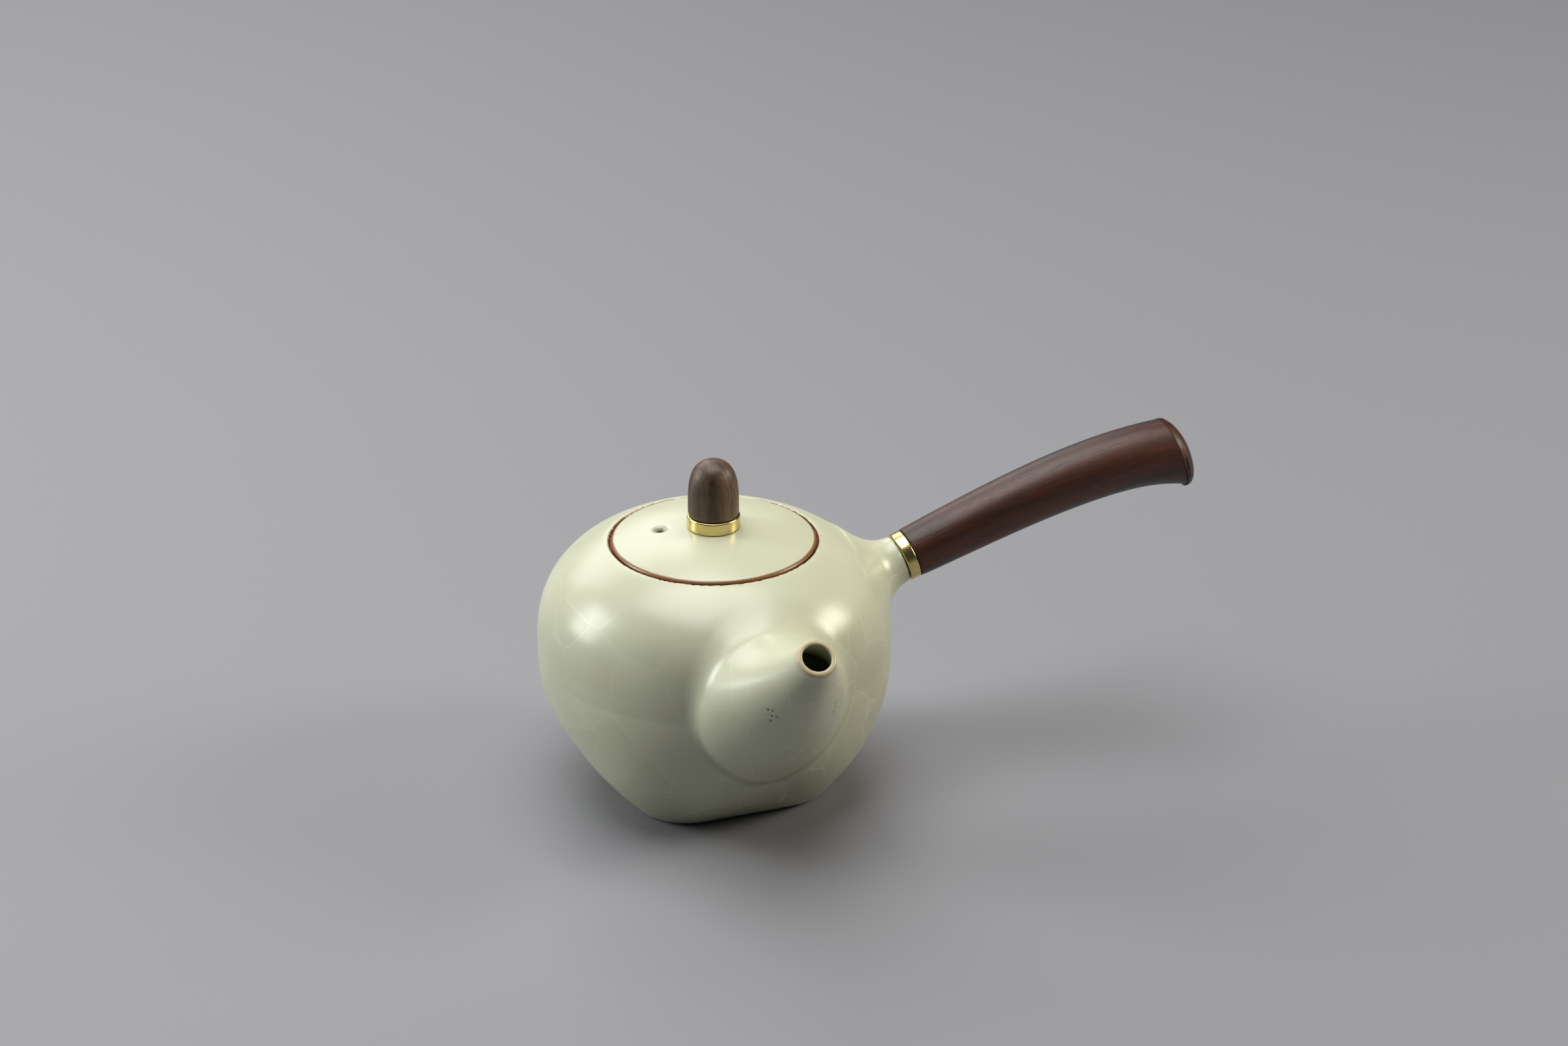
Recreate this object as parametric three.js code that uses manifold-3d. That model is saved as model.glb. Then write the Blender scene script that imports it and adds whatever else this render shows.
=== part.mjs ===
// Side-handle teapot in glazed stoneware with a rosewood grip and knob and brass fittings.
// Millimetres, +Z up. The origin is the centre of the flat foot, on the axis of the lid.
// The spout points along -Y and the handle along +X.

import * as THREE from 'three';
import { mergeVertices } from 'three/addons/utils/BufferGeometryUtils.js';
import Module from 'manifold-3d';

const wasm = await Module();
wasm.setup();

// Clearance between pieces that touch, and how far a cutting shape runs past a face
const GAP = 0.3;
const OVERSHOOT = 1;
const MERGE_DISTANCE = 1e-5;

// Pot: round above, drawn down to a square foot with rounded corners
const BODY_DIAMETER = 92;
const WAIST_HEIGHT = 41;
const SEAT_HEIGHT = 67;
const CROWN_RISE = 5.3;
const SHOULDER_FULLNESS = 2.45;
const BELLY_FULLNESS = 2.15;
const FOOT_WIDTH = 50;
const FOOT_CORNER_RADIUS = 9.2;
const FOOT_EDGE_RADIUS = 1.2;
const ROUND_HEIGHT = 38;
const CORNER_FADE = 0.35;
const WALL = 3.2;
const FLOOR = 4;
const SEAT_THICKNESS = 3.6;
const RIM_RISE = 1.2;
const MOUTH_DIAMETER = 44;

// Spout: a wide cone on the front, cut level with the seat
const SPOUT_OVERHANG = 27.3;
const SPOUT_TIP_RISE = 1.3;
const SPOUT_TIP_DIAMETER = 9.4;
const SPOUT_TIP_ANGLE = 52;
const SPOUT_HOLE_DIAMETER = 7.1;
const SPOUT_LIP_ROLL = 0.25;
const SPOUT_ROOT_BASE = 16.5;
const SPOUT_ROOT_DROP = 6;
const SPOUT_ROOT_WIDTH = 41;
const SPOUT_ROOT_DEPTH = 9;
const SPOUT_TOP_DIP = 3;
const SPOUT_BELLY_BULGE = 2.5;
const SPOUT_FLARE = 1;
const SPOUT_FLARE_LENGTH = 12;
const SPOUT_LIP_LENGTH = 3;
const SPOUT_WALL = 2.8;

// Strainer dome on the port between the tea chamber and the spout
const PORT_HEIGHT = 33;
const PORT_DIAMETER = 22;
const STRAINER_DIAMETER = 30;
const STRAINER_WALL = 2;
const STRAINER_HOLE_DIAMETER = 2.4;
const STRAINER_RING_STEP = 17;
const STRAINER_RINGS = 3;
const STRAINER_RING_HOLES = 6;

// Handle socket on the right side, and the fittings that hold the wooden grip in it
const HANDLE_HEIGHT = 51.5;
const HANDLE_SLOPE = 19;
const SOCKET_REACH = 7.6;
const SOCKET_DIAMETER = 12.8;
const SOCKET_FLARE = 7;
const SOCKET_FLARE_POWER = 2.2;
const SOCKET_DEPTH = 8;
const STUD_DIAMETER = 5;
const STUD_LENGTH = 28;
const STUD_CHAMFER = 0.5;
const BUSH_WALL = 1.3;
const INSERT_LENGTH = 14;
const FERRULE_DIAMETER = 13.2;
const FERRULE_LENGTH = 2.6;
const BRASS_EDGE = 0.3;

// Wooden grip: a gentle downward curve that thickens towards its slanted end
const GRIP_LENGTH = 78.6;
const GRIP_DROP = 8.1;
const GRIP_TURN = 20;
const GRIP_LEAVE = 0.4;
const GRIP_ARRIVE = 0.31;
const GRIP_ROOT_DIAMETER = 13.3;
const GRIP_END_DIAMETER = 17;
const GRIP_SWELL_POWER = 0.75;
const GRIP_TAIL_SHARE = 0.3;
const GRIP_END_SLANT = 19;
const GRIP_END_FLARE = 2.1;
const GRIP_EDGE_LENGTH = 1.6;
const GRIP_END_DOME = 2.2;
const GRIP_END_FULLNESS = 2.4;

// Lid with its locating flange and steam vent
const LID_DIAMETER = 53.4;
const LID_EDGE_HEIGHT = 1.3;
const LID_EDGE_RADIUS = 0.6;
const LID_RISE = 3.5;
const LID_THICKNESS = 3.2;
const LID_FULLNESS = 2.4;
const LID_INNER_CORNER = 3;
const FLANGE_CLEARANCE = 0.5;
const FLANGE_THICKNESS = 2.6;
const FLANGE_DEPTH = 8;
const VENT_DIAMETER = 2.8;
const VENT_RADIUS = 13.6;
const VENT_ANGLE = 161;

// Knob: brass collar, wooden knob and the screw that holds them from below
const COLLAR_DIAMETER = 13.8;
const COLLAR_HEIGHT = 3;
const KNOB_DIAMETER = 13.2;
const KNOB_HEIGHT = 14.9;
const KNOB_FULLNESS = 4;
const KNOB_SHOULDER = 2.3;
const SCREW_DIAMETER = 4;
const SCREW_LENGTH = 14;
const SCREW_HEAD_DIAMETER = 7.6;
const SCREW_HEAD_HEIGHT = 2.4;
const SCREW_HEAD_CHAMFER = 1.1;
const SCREW_SLOT_WIDTH = 1;
const SCREW_SLOT_DEPTH = 1.2;
const WASHER_DIAMETER = 10;
const WASHER_THICKNESS = 1;
const KNOB_INSERT_DIAMETER = 6.6;
const KNOB_INSERT_LENGTH = 8;

// Facets round the larger and the smaller shapes
const POT_SIDES = 64;
const POT_STEPS = 11;
const CHAMBER_SIDES = 48;
const CHAMBER_STEPS = 14;
const SPOUT_SIDES = 32;
const SPOUT_STEPS = 12;
const LID_SIDES = 48;
const SOCKET_STEPS = 9;
const GRIP_SIDES = 24;
const GRIP_STEPS = 16;
const DOME_STEPS = 7;
const KNOB_STEPS = 10;
const SMALL_SIDES = 20;
const HOLE_SIDES = 6;

// Sizes that follow from the ones above
const bodyRadius = BODY_DIAMETER / 2;
const crownHeight = SEAT_HEIGHT + CROWN_RISE;
const mouthRadius = MOUTH_DIAMETER / 2;
const ceilingHeight = SEAT_HEIGHT - SEAT_THICKNESS;
const rimHeight = SEAT_HEIGHT + RIM_RISE;
const studRadius = STUD_DIAMETER / 2;
const boreRadius = studRadius + GAP;
const bushRadius = boreRadius + BUSH_WALL;
const socketHoleRadius = bushRadius + GAP;
const screwRadius = SCREW_DIAMETER / 2;
const screwHoleRadius = screwRadius + GAP;

// How far the middle of a rounded edge stands in from each of its faces, as a share of its radius
const edgeShare = 1 - Math.SQRT1_2;

const glaze = { color: 0xc9cbb4, roughness: 0.22, metalness: 0 };
const bareClay = { color: 0xb9b3a0, roughness: 0.8, metalness: 0 };
const rosewood = { color: 0x3a2018, roughness: 0.45, metalness: 0 };
const brass = { color: 0xd8b45a, roughness: 0.2, metalness: 1 };
const steel = { color: 0xb4b6b8, roughness: 0.3, metalness: 1 };
const silicone = { color: 0xd9d6cc, roughness: 0.7, metalness: 0 };

// Solids and booleans

function solid(geometry) {
  const bare = geometry.clone();
  bare.deleteAttribute('normal');
  bare.deleteAttribute('uv');
  const merged = mergeVertices(bare, MERGE_DISTANCE);
  const vertProperties = new Float32Array(merged.attributes.position.array);
  const triVerts = new Uint32Array(merged.index.array);
  return new wasm.Manifold(new wasm.Mesh({ numProp: 3, vertProperties, triVerts }));
}

function geometryOf(manifold) {
  const mesh = manifold.getMesh();
  const geometry = new THREE.BufferGeometry();
  geometry.setAttribute('position', new THREE.BufferAttribute(mesh.vertProperties, 3));
  geometry.setIndex(new THREE.BufferAttribute(mesh.triVerts, 1));
  geometry.computeVertexNormals();
  return geometry;
}

function piece(name, geometry, finish) {
  const mesh = new THREE.Mesh(geometry, new THREE.MeshStandardMaterial(finish));
  mesh.name = name;
  return mesh;
}

// A turned solid about +Z, from [radius, height] points that rise along the outside
function turned(points, sides) {
  const profile = points.map(([radius, height]) => new THREE.Vector2(radius, height));
  return new THREE.LatheGeometry(profile, sides).rotateX(Math.PI / 2);
}

function rod(radius, low, high, sides = SMALL_SIDES) {
  return turned([[0, low], [radius, low], [radius, high], [0, high]], sides);
}

// A turned disc or ring blank with its two outer edges broken
function edgedRod(radius, low, high, edge, sides = SMALL_SIDES) {
  const points = [
    [0, low],
    [radius - edge, low],
    [radius, low + edge],
    [radius, high - edge],
    [radius - edge, high],
    [0, high],
  ];
  return turned(points, sides);
}

// Turns a shape made along +Z so that it lies along +X
function alongX(geometry) {
  return geometry.rotateY(Math.PI / 2);
}

// A closed skin over rings of points, with a point in the middle of each end
function loft(rings, startPoint, endPoint) {
  const sides = rings[0].length;
  const positions = [];
  const faces = [];
  for (const ring of rings) {
    for (const point of ring) {
      positions.push(point.x, point.y, point.z);
    }
  }
  positions.push(startPoint.x, startPoint.y, startPoint.z);
  positions.push(endPoint.x, endPoint.y, endPoint.z);
  const startIndex = rings.length * sides;
  const endIndex = startIndex + 1;
  const lastRing = (rings.length - 1) * sides;
  for (let side = 0; side < sides; side++) {
    const next = (side + 1) % sides;
    faces.push(startIndex, next, side);
    faces.push(endIndex, lastRing + side, lastRing + next);
    for (let row = 0; row < lastRing; row += sides) {
      faces.push(row + side, row + next, row + sides + side);
      faces.push(row + next, row + sides + next, row + sides + side);
    }
  }
  const geometry = new THREE.BufferGeometry();
  geometry.setAttribute('position', new THREE.Float32BufferAttribute(positions, 3));
  geometry.setIndex(faces);
  return geometry;
}

// The pot's outline

function outerHalfWidth(height) {
  if (height > WAIST_HEIGHT) {
    const rise = Math.min((height - WAIST_HEIGHT) / (crownHeight - WAIST_HEIGHT), 1);
    return bodyRadius * (1 - rise ** SHOULDER_FULLNESS) ** (1 / SHOULDER_FULLNESS);
  }
  const drop = 1 - height / WAIST_HEIGHT;
  return bodyRadius - (bodyRadius - FOOT_WIDTH / 2) * drop ** BELLY_FULLNESS;
}

function innerHalfWidth(height) {
  const step = 0.05;
  const slope = (outerHalfWidth(height + step) - outerHalfWidth(height - step)) / (2 * step);
  return outerHalfWidth(height) - WALL * Math.hypot(1, slope);
}

// How far a section with rounded corners reaches at an angle, as a share of its half width
function squareReach(angle, height) {
  const footShare = FOOT_CORNER_RADIUS / (FOOT_WIDTH / 2);
  const fade = Math.min(Math.max(height, 0) / ROUND_HEIGHT, 1) ** CORNER_FADE;
  const corner = footShare + (1 - footShare) * fade;
  const core = 1 - corner;
  const across = Math.abs(Math.cos(angle));
  const along = Math.abs(Math.sin(angle));
  const flatReach = 1 / Math.max(across, along);
  if (flatReach * Math.min(across, along) <= core) {
    return flatReach;
  }
  const middle = core * (across + along);
  return middle + Math.sqrt(Math.max(middle ** 2 - 2 * core ** 2 + corner ** 2, 0));
}

function squareOff(geometry) {
  const position = geometry.attributes.position;
  for (let i = 0; i < position.count; i++) {
    const x = position.getX(i);
    const y = position.getY(i);
    const reach = squareReach(Math.atan2(y, x), position.getZ(i));
    position.setXY(i, x * reach, y * reach);
  }
  return geometry;
}

function heightsBetween(low, high, count) {
  return Array.from({ length: count + 1 }, (_, i) => low + ((high - low) * i) / count);
}

function outerShell() {
  const foot = FOOT_WIDTH / 2;
  const lowest = FOOT_EDGE_RADIUS;
  const points = [
    [0, 0],
    [foot - FOOT_EDGE_RADIUS, 0],
    [foot - FOOT_EDGE_RADIUS * edgeShare, FOOT_EDGE_RADIUS * edgeShare],
  ];
  for (const height of heightsBetween(lowest, WAIST_HEIGHT, POT_STEPS)) {
    points.push([outerHalfWidth(height), height]);
  }
  for (const height of heightsBetween(WAIST_HEIGHT, rimHeight, POT_STEPS).slice(1)) {
    points.push([outerHalfWidth(height), height]);
  }
  points.push([0, rimHeight]);
  return squareOff(turned(points, POT_SIDES));
}

function chamberShape(clearance) {
  const points = [[0, FLOOR + clearance]];
  for (const height of heightsBetween(FLOOR + clearance, ceilingHeight - clearance, CHAMBER_STEPS)) {
    points.push([innerHalfWidth(height) - clearance, height]);
  }
  points.push([0, ceilingHeight - clearance]);
  return squareOff(turned(points, CHAMBER_SIDES));
}

// The spout runs from the pot's front to its tip between a top line and a belly line, both in
// the plane x = 0

const spoutTilt = THREE.MathUtils.degToRad(SPOUT_TIP_ANGLE);
const spoutTip = new THREE.Vector3(0, -bodyRadius - SPOUT_OVERHANG, SEAT_HEIGHT + SPOUT_TIP_RISE);
const spoutOutward = new THREE.Vector3(0, -Math.cos(spoutTilt), Math.sin(spoutTilt));
const spoutTipUp = new THREE.Vector3(0, Math.sin(spoutTilt), Math.cos(spoutTilt));

function frontPoint(height) {
  return new THREE.Vector3(0, -outerHalfWidth(height), height);
}

// A curve from start to end whose middle hangs below the straight line by the sag: its control
// point hangs twice as low
function saggingLine(start, end, sag) {
  const control = start.clone().lerp(end, 0.5);
  const upward = new THREE.Vector3(0, end.z - start.z, start.y - end.y).normalize();
  control.addScaledVector(upward, -2 * sag);
  return new THREE.QuadraticBezierCurve3(start, control, end);
}

function spoutLines() {
  const tipRadius = SPOUT_TIP_DIAMETER / 2;
  const topEnd = spoutTip.clone().addScaledVector(spoutTipUp, tipRadius);
  const bellyEnd = spoutTip.clone().addScaledVector(spoutTipUp, -tipRadius);
  return {
    top: saggingLine(frontPoint(SEAT_HEIGHT - SPOUT_ROOT_DROP), topEnd, SPOUT_TOP_DIP),
    belly: saggingLine(frontPoint(SPOUT_ROOT_BASE), bellyEnd, SPOUT_BELLY_BULGE),
  };
}

function spoutSection(top, belly, widthRatio, growth) {
  const centre = top.clone().lerp(belly, 0.5);
  const halfHeight = top.distanceTo(belly) / 2;
  const upward = top.clone().sub(belly).normalize();
  const section = [];
  for (let side = 0; side < SPOUT_SIDES; side++) {
    const angle = (2 * Math.PI * side) / SPOUT_SIDES;
    const point = centre.clone();
    point.x += Math.cos(angle) * (halfHeight * widthRatio + growth);
    point.addScaledVector(upward, Math.sin(angle) * (halfHeight + growth));
    section.push(point);
  }
  return section;
}

// The spout's outside, with a flare at the pot and a rolled lip, or its hollow, less the wall
function spoutShape(hollow) {
  const { top, belly } = spoutLines();
  const length = top.getLength();
  const rootHalf = top.getPoint(0).distanceTo(belly.getPoint(0)) / 2;
  const rootRatio = SPOUT_ROOT_WIDTH / 2 / rootHalf;
  const tipWall = (SPOUT_TIP_DIAMETER - SPOUT_HOLE_DIAMETER) / 2;
  const rings = [];
  for (let step = 0; step <= SPOUT_STEPS; step++) {
    const along = step / SPOUT_STEPS;
    const flare = SPOUT_FLARE * Math.max(1 - (along * length) / SPOUT_FLARE_LENGTH, 0) ** 2;
    const roll = SPOUT_LIP_ROLL * Math.max(1 - ((1 - along) * length) / SPOUT_LIP_LENGTH, 0);
    const wall = THREE.MathUtils.lerp(SPOUT_WALL, tipWall, along);
    const growth = hollow ? -wall : flare + roll;
    const ratio = THREE.MathUtils.lerp(rootRatio, 1, along);
    rings.push(spoutSection(top.getPoint(along), belly.getPoint(along), ratio, growth));
  }
  const inwards = new THREE.Vector3(0, SPOUT_ROOT_DEPTH, 0);
  const outwards = spoutOutward.clone().multiplyScalar(hollow ? OVERSHOOT : 0);
  const start = top.getPoint(0).lerp(belly.getPoint(0), 0.5).add(inwards);
  rings.unshift(rings[0].map((point) => point.clone().add(inwards)));
  if (hollow) {
    rings.push(rings[rings.length - 1].map((point) => point.clone().add(outwards)));
  }
  return loft(rings, start, spoutTip.clone().add(outwards));
}

// The handle's axis leaves the pot's side and carries the frame of everything on it

const handleTilt = THREE.MathUtils.degToRad(HANDLE_SLOPE);
const handleStart = new THREE.Vector3(
  outerHalfWidth(HANDLE_HEIGHT) + SOCKET_REACH * Math.cos(handleTilt),
  0,
  HANDLE_HEIGHT + SOCKET_REACH * Math.sin(handleTilt),
);

function toHandle(geometry) {
  const placed = alongX(geometry).rotateY(-handleTilt);
  return placed.translate(handleStart.x, handleStart.y, handleStart.z);
}

function socketShape() {
  const root = SOCKET_REACH + WALL;
  const end = SOCKET_DIAMETER / 2;
  const points = [[0, -root]];
  for (let step = 0; step <= SOCKET_STEPS; step++) {
    const back = 1 - step / SOCKET_STEPS;
    const radius = end + SOCKET_FLARE * back ** SOCKET_FLARE_POWER;
    points.push([radius, -BRASS_EDGE - (root - BRASS_EDGE) * back]);
  }
  points.push([end - BRASS_EDGE, 0], [0, 0]);
  return toHandle(turned(points, SPOUT_SIDES));
}

function potBody() {
  const outside = solid(outerShell());
  const spoutHollow = solid(spoutShape(true));
  const mouth = rod(mouthRadius, ceilingHeight - OVERSHOOT, SEAT_HEIGHT + OVERSHOOT, POT_SIDES);
  const seat = rod(LID_DIAMETER / 2 + GAP, SEAT_HEIGHT, rimHeight + OVERSHOOT, POT_SIDES);
  const portEnd = outerHalfWidth(PORT_HEIGHT) + WALL;
  const port = rod(PORT_DIAMETER / 2, portEnd - SPOUT_ROOT_DEPTH - WALL, portEnd);
  port.rotateX(Math.PI / 2).translate(0, 0, PORT_HEIGHT);
  const socketHole = toHandle(rod(socketHoleRadius, -SOCKET_DEPTH, OVERSHOOT));
  const vessel = outside
    .add(solid(spoutShape(false)))
    .add(solid(socketShape()))
    .subtract(spoutHollow.subtract(outside))
    .subtract(solid(chamberShape(0)))
    .subtract(solid(mouth))
    .subtract(solid(seat))
    .subtract(solid(port).intersect(outside.add(spoutHollow)))
    .subtract(solid(socketHole));
  return piece('pot_body', geometryOf(vessel), glaze);
}

// The strainer is a perforated ball seated on the chamber wall round the port
function spoutStrainer() {
  const radius = STRAINER_DIAMETER / 2;
  const ball = (size) => new THREE.SphereGeometry(size, SMALL_SIDES, SMALL_SIDES / 2);
  const centre = new THREE.Vector3(0, -innerHalfWidth(PORT_HEIGHT), PORT_HEIGHT);
  let dome = solid(ball(radius)).subtract(solid(ball(radius - STRAINER_WALL)));
  for (let ring = 0; ring <= STRAINER_RINGS; ring++) {
    const lean = THREE.MathUtils.degToRad(ring * STRAINER_RING_STEP);
    const count = Math.max(ring * STRAINER_RING_HOLES, 1);
    for (let index = 0; index < count; index++) {
      const turn = (2 * Math.PI * index) / count;
      const hole = rod(STRAINER_HOLE_DIAMETER / 2, radius / 2, radius + OVERSHOOT, HOLE_SIDES);
      hole.rotateX(lean).rotateZ(turn).rotateX(-Math.PI / 2);
      dome = dome.subtract(solid(hole));
    }
  }
  const room = solid(chamberShape(GAP).translate(-centre.x, -centre.y, -centre.z));
  const strainer = piece('spout_strainer', geometryOf(dome.intersect(room)), bareClay);
  strainer.position.copy(centre);
  return strainer;
}

// Pieces on the handle's axis, along +X from the socket's end face

function tubeAlongX(outer, inner, low, high, edge) {
  const blank = solid(edgedRod(outer, low, high, edge));
  const bore = solid(rod(inner, low - OVERSHOOT, high + OVERSHOOT));
  return alongX(geometryOf(blank.subtract(bore)));
}

function socketBush() {
  const low = GAP - SOCKET_DEPTH;
  return piece('socket_bush', tubeAlongX(bushRadius, boreRadius, low, -GAP, BRASS_EDGE), brass);
}

function handleStud() {
  const low = 2 * GAP - SOCKET_DEPTH;
  const shape = edgedRod(studRadius, low, low + STUD_LENGTH, STUD_CHAMFER);
  return piece('handle_stud', alongX(shape), steel);
}

function handleFerrule() {
  const high = GAP + FERRULE_LENGTH;
  const ring = tubeAlongX(FERRULE_DIAMETER / 2, boreRadius, GAP, high, BRASS_EDGE);
  return piece('handle_ferrule', ring, brass);
}

const gripStart = FERRULE_LENGTH + 2 * GAP;

function gripInsert() {
  const low = gripStart + GAP;
  const tube = tubeAlongX(bushRadius, boreRadius, low, low + INSERT_LENGTH, BRASS_EDGE);
  return piece('grip_insert', tube, brass);
}

function gripLine() {
  const turn = THREE.MathUtils.degToRad(GRIP_TURN);
  const start = new THREE.Vector3(gripStart, 0, 0);
  const end = new THREE.Vector3(gripStart + GRIP_LENGTH, 0, -GRIP_DROP);
  const endWay = new THREE.Vector3(Math.cos(turn), 0, -Math.sin(turn));
  const leave = start.clone().add(new THREE.Vector3(GRIP_LENGTH * GRIP_LEAVE, 0, 0));
  const arrive = end.clone().addScaledVector(endWay, -GRIP_LENGTH * GRIP_ARRIVE);
  return new THREE.CubicBezierCurve3(start, leave, arrive, end);
}

// One ring of the grip: its plane leans and its lower side swells towards the end
function gripRing(line, along, inset, setback) {
  const centre = line.getPointAt(along);
  const way = line.getTangentAt(along);
  const sideways = new THREE.Vector3(0, 1, 0);
  const upward = new THREE.Vector3().crossVectors(way, sideways).normalize();
  const late = Math.max((along - 1) / GRIP_TAIL_SHARE + 1, 0);
  const lean = Math.tan(THREE.MathUtils.degToRad(GRIP_END_SLANT)) * late ** 2;
  const growth = along ** GRIP_SWELL_POWER;
  const radius = THREE.MathUtils.lerp(GRIP_ROOT_DIAMETER, GRIP_END_DIAMETER, growth) / 2;
  const ring = [];
  for (let side = 0; side < GRIP_SIDES; side++) {
    const angle = (2 * Math.PI * side) / GRIP_SIDES;
    const low = Math.max(-Math.sin(angle), 0);
    const reach = (radius + GRIP_END_FLARE * low ** 2 * late ** 3) * (1 - inset / radius);
    const point = centre.clone();
    point.addScaledVector(sideways, Math.cos(angle) * reach);
    point.addScaledVector(upward, Math.sin(angle) * reach);
    point.addScaledVector(way, -Math.sin(angle) * reach * lean - setback);
    ring.push(point);
  }
  return ring;
}

// The wood has a small chamfer at the ferrule. Its end is a dome that starts a little before
// the end of the grip's line and stands out past it.
function handleGrip() {
  const line = gripLine();
  const endRadius = GRIP_END_DIAMETER / 2;
  const rings = [gripRing(line, 0, BRASS_EDGE, 0)];
  for (let step = 0; step < GRIP_STEPS; step++) {
    rings.push(gripRing(line, step / GRIP_STEPS, 0, step === 0 ? -BRASS_EDGE : 0));
  }
  for (let step = 0; step < DOME_STEPS; step++) {
    const share = Math.cos((Math.PI / 2) * (step / DOME_STEPS));
    const rise = (1 - share ** GRIP_END_FULLNESS) ** (1 / GRIP_END_FULLNESS);
    const setback = GRIP_EDGE_LENGTH - (GRIP_EDGE_LENGTH + GRIP_END_DOME) * rise;
    rings.push(gripRing(line, 1, endRadius * (1 - share), setback));
  }
  const crown = line.getPointAt(1).addScaledVector(line.getTangentAt(1), GRIP_END_DOME);
  const wood = solid(loft(rings, line.getPoint(0), crown));
  const insertHole = rod(bushRadius + GAP, -OVERSHOOT, gripStart + INSERT_LENGTH + 2 * GAP);
  const studHole = rod(boreRadius, -OVERSHOOT, STUD_LENGTH - SOCKET_DEPTH + 3 * GAP);
  const bored = wood.subtract(solid(alongX(insertHole))).subtract(solid(alongX(studHole)));
  return piece('handle_grip', geometryOf(bored), rosewood);
}

// Pieces of the lid, upwards from the plane that rests on the seat

function lidTopHeight(radius) {
  const share = radius / (LID_DIAMETER / 2 - LID_EDGE_RADIUS);
  return LID_EDGE_HEIGHT + LID_RISE * (1 - share ** LID_FULLNESS);
}

const lidTop = lidTopHeight(COLLAR_DIAMETER / 2);
const lidCeiling = lidTop - LID_THICKNESS;
const flangeRadius = mouthRadius - FLANGE_CLEARANCE;

function lid() {
  const rim = LID_DIAMETER / 2;
  const round = LID_EDGE_RADIUS;
  const inner = flangeRadius - FLANGE_THICKNESS;
  const outline = [
    [0, lidCeiling],
    [inner - LID_INNER_CORNER, lidCeiling],
    [inner, lidCeiling - LID_INNER_CORNER],
    [inner, -FLANGE_DEPTH + round],
    [inner + round, -FLANGE_DEPTH],
    [flangeRadius - round, -FLANGE_DEPTH],
    [flangeRadius, -FLANGE_DEPTH + round],
    [flangeRadius, 0],
    [rim - round / 2, 0],
    [rim, round / 2],
    [rim, LID_EDGE_HEIGHT - round],
  ];
  for (let step = 0; step <= DOME_STEPS; step++) {
    const radius = THREE.MathUtils.lerp(rim - round, COLLAR_DIAMETER / 2, step / DOME_STEPS);
    outline.push([radius, lidTopHeight(radius)]);
  }
  outline.push([0, lidTop]);
  const turnAngle = THREE.MathUtils.degToRad(VENT_ANGLE);
  const vent = rod(VENT_DIAMETER / 2, lidCeiling - OVERSHOOT, lidTop + OVERSHOOT);
  vent.translate(VENT_RADIUS * Math.cos(turnAngle), VENT_RADIUS * Math.sin(turnAngle), 0);
  const screwHole = rod(screwHoleRadius, lidCeiling - OVERSHOOT, lidTop + OVERSHOOT);
  const disc = solid(turned(outline, LID_SIDES)).subtract(solid(vent)).subtract(solid(screwHole));
  return piece('lid', geometryOf(disc), glaze);
}

function drilled(radius, hole, low, high, edge) {
  const blank = solid(edgedRod(radius, low, high, edge));
  return blank.subtract(solid(rod(hole, low - OVERSHOOT, high + OVERSHOOT)));
}

const collarLow = lidTop + GAP;
const knobLow = collarLow + COLLAR_HEIGHT + GAP;

function knobCollar() {
  const high = collarLow + COLLAR_HEIGHT;
  const ring = drilled(COLLAR_DIAMETER / 2, screwHoleRadius, collarLow, high, BRASS_EDGE);
  return piece('knob_collar', geometryOf(ring), brass);
}

const washerHigh = lidCeiling - GAP;
const washerLow = washerHigh - WASHER_THICKNESS;

function knobWasher() {
  const ring = drilled(WASHER_DIAMETER / 2, screwHoleRadius, washerLow, washerHigh, GAP);
  return piece('knob_washer', geometryOf(ring), silicone);
}

const headHigh = washerLow - GAP;
const headLow = headHigh - SCREW_HEAD_HEIGHT;
const screwTop = headHigh + SCREW_LENGTH;

function knobScrew() {
  const head = SCREW_HEAD_DIAMETER / 2;
  const outline = [
    [0, headLow],
    [head - SCREW_HEAD_CHAMFER, headLow],
    [head, headLow + SCREW_HEAD_CHAMFER],
    [head, headHigh],
    [screwRadius, headHigh],
    [screwRadius, screwTop - STUD_CHAMFER],
    [screwRadius - STUD_CHAMFER, screwTop],
    [0, screwTop],
  ];
  const slot = new THREE.BoxGeometry(SCREW_HEAD_DIAMETER * 2, SCREW_SLOT_WIDTH, SCREW_SLOT_DEPTH * 2);
  slot.translate(0, 0, headLow);
  const screw = solid(turned(outline, SMALL_SIDES)).subtract(solid(slot));
  return piece('knob_screw', geometryOf(screw), steel);
}

function knobInsert() {
  const low = knobLow + GAP;
  const high = low + KNOB_INSERT_LENGTH;
  const tube = drilled(KNOB_INSERT_DIAMETER / 2, screwHoleRadius, low, high, BRASS_EDGE);
  return piece('knob_insert', geometryOf(tube), brass);
}

function knob() {
  const base = KNOB_DIAMETER / 2;
  const outline = [[0, 0], [base - BRASS_EDGE, 0]];
  for (let step = 0; step < KNOB_STEPS; step++) {
    const rise = Math.sin((Math.PI / 2) * (step / KNOB_STEPS));
    const radius = base * (1 - rise ** KNOB_FULLNESS) ** (1 / KNOB_SHOULDER);
    outline.push([radius, BRASS_EDGE + (KNOB_HEIGHT - BRASS_EDGE) * rise]);
  }
  outline.push([0, KNOB_HEIGHT]);
  const insertHole = rod(KNOB_INSERT_DIAMETER / 2 + GAP, -OVERSHOOT, KNOB_INSERT_LENGTH + 2 * GAP);
  const screwHole = rod(screwHoleRadius, -OVERSHOOT, screwTop - knobLow + GAP);
  const wood = solid(turned(outline, GRIP_SIDES));
  const bored = wood.subtract(solid(insertHole)).subtract(solid(screwHole));
  const mesh = piece('knob', geometryOf(bored), rosewood);
  mesh.position.z = knobLow;
  return mesh;
}

// Assembly

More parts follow.
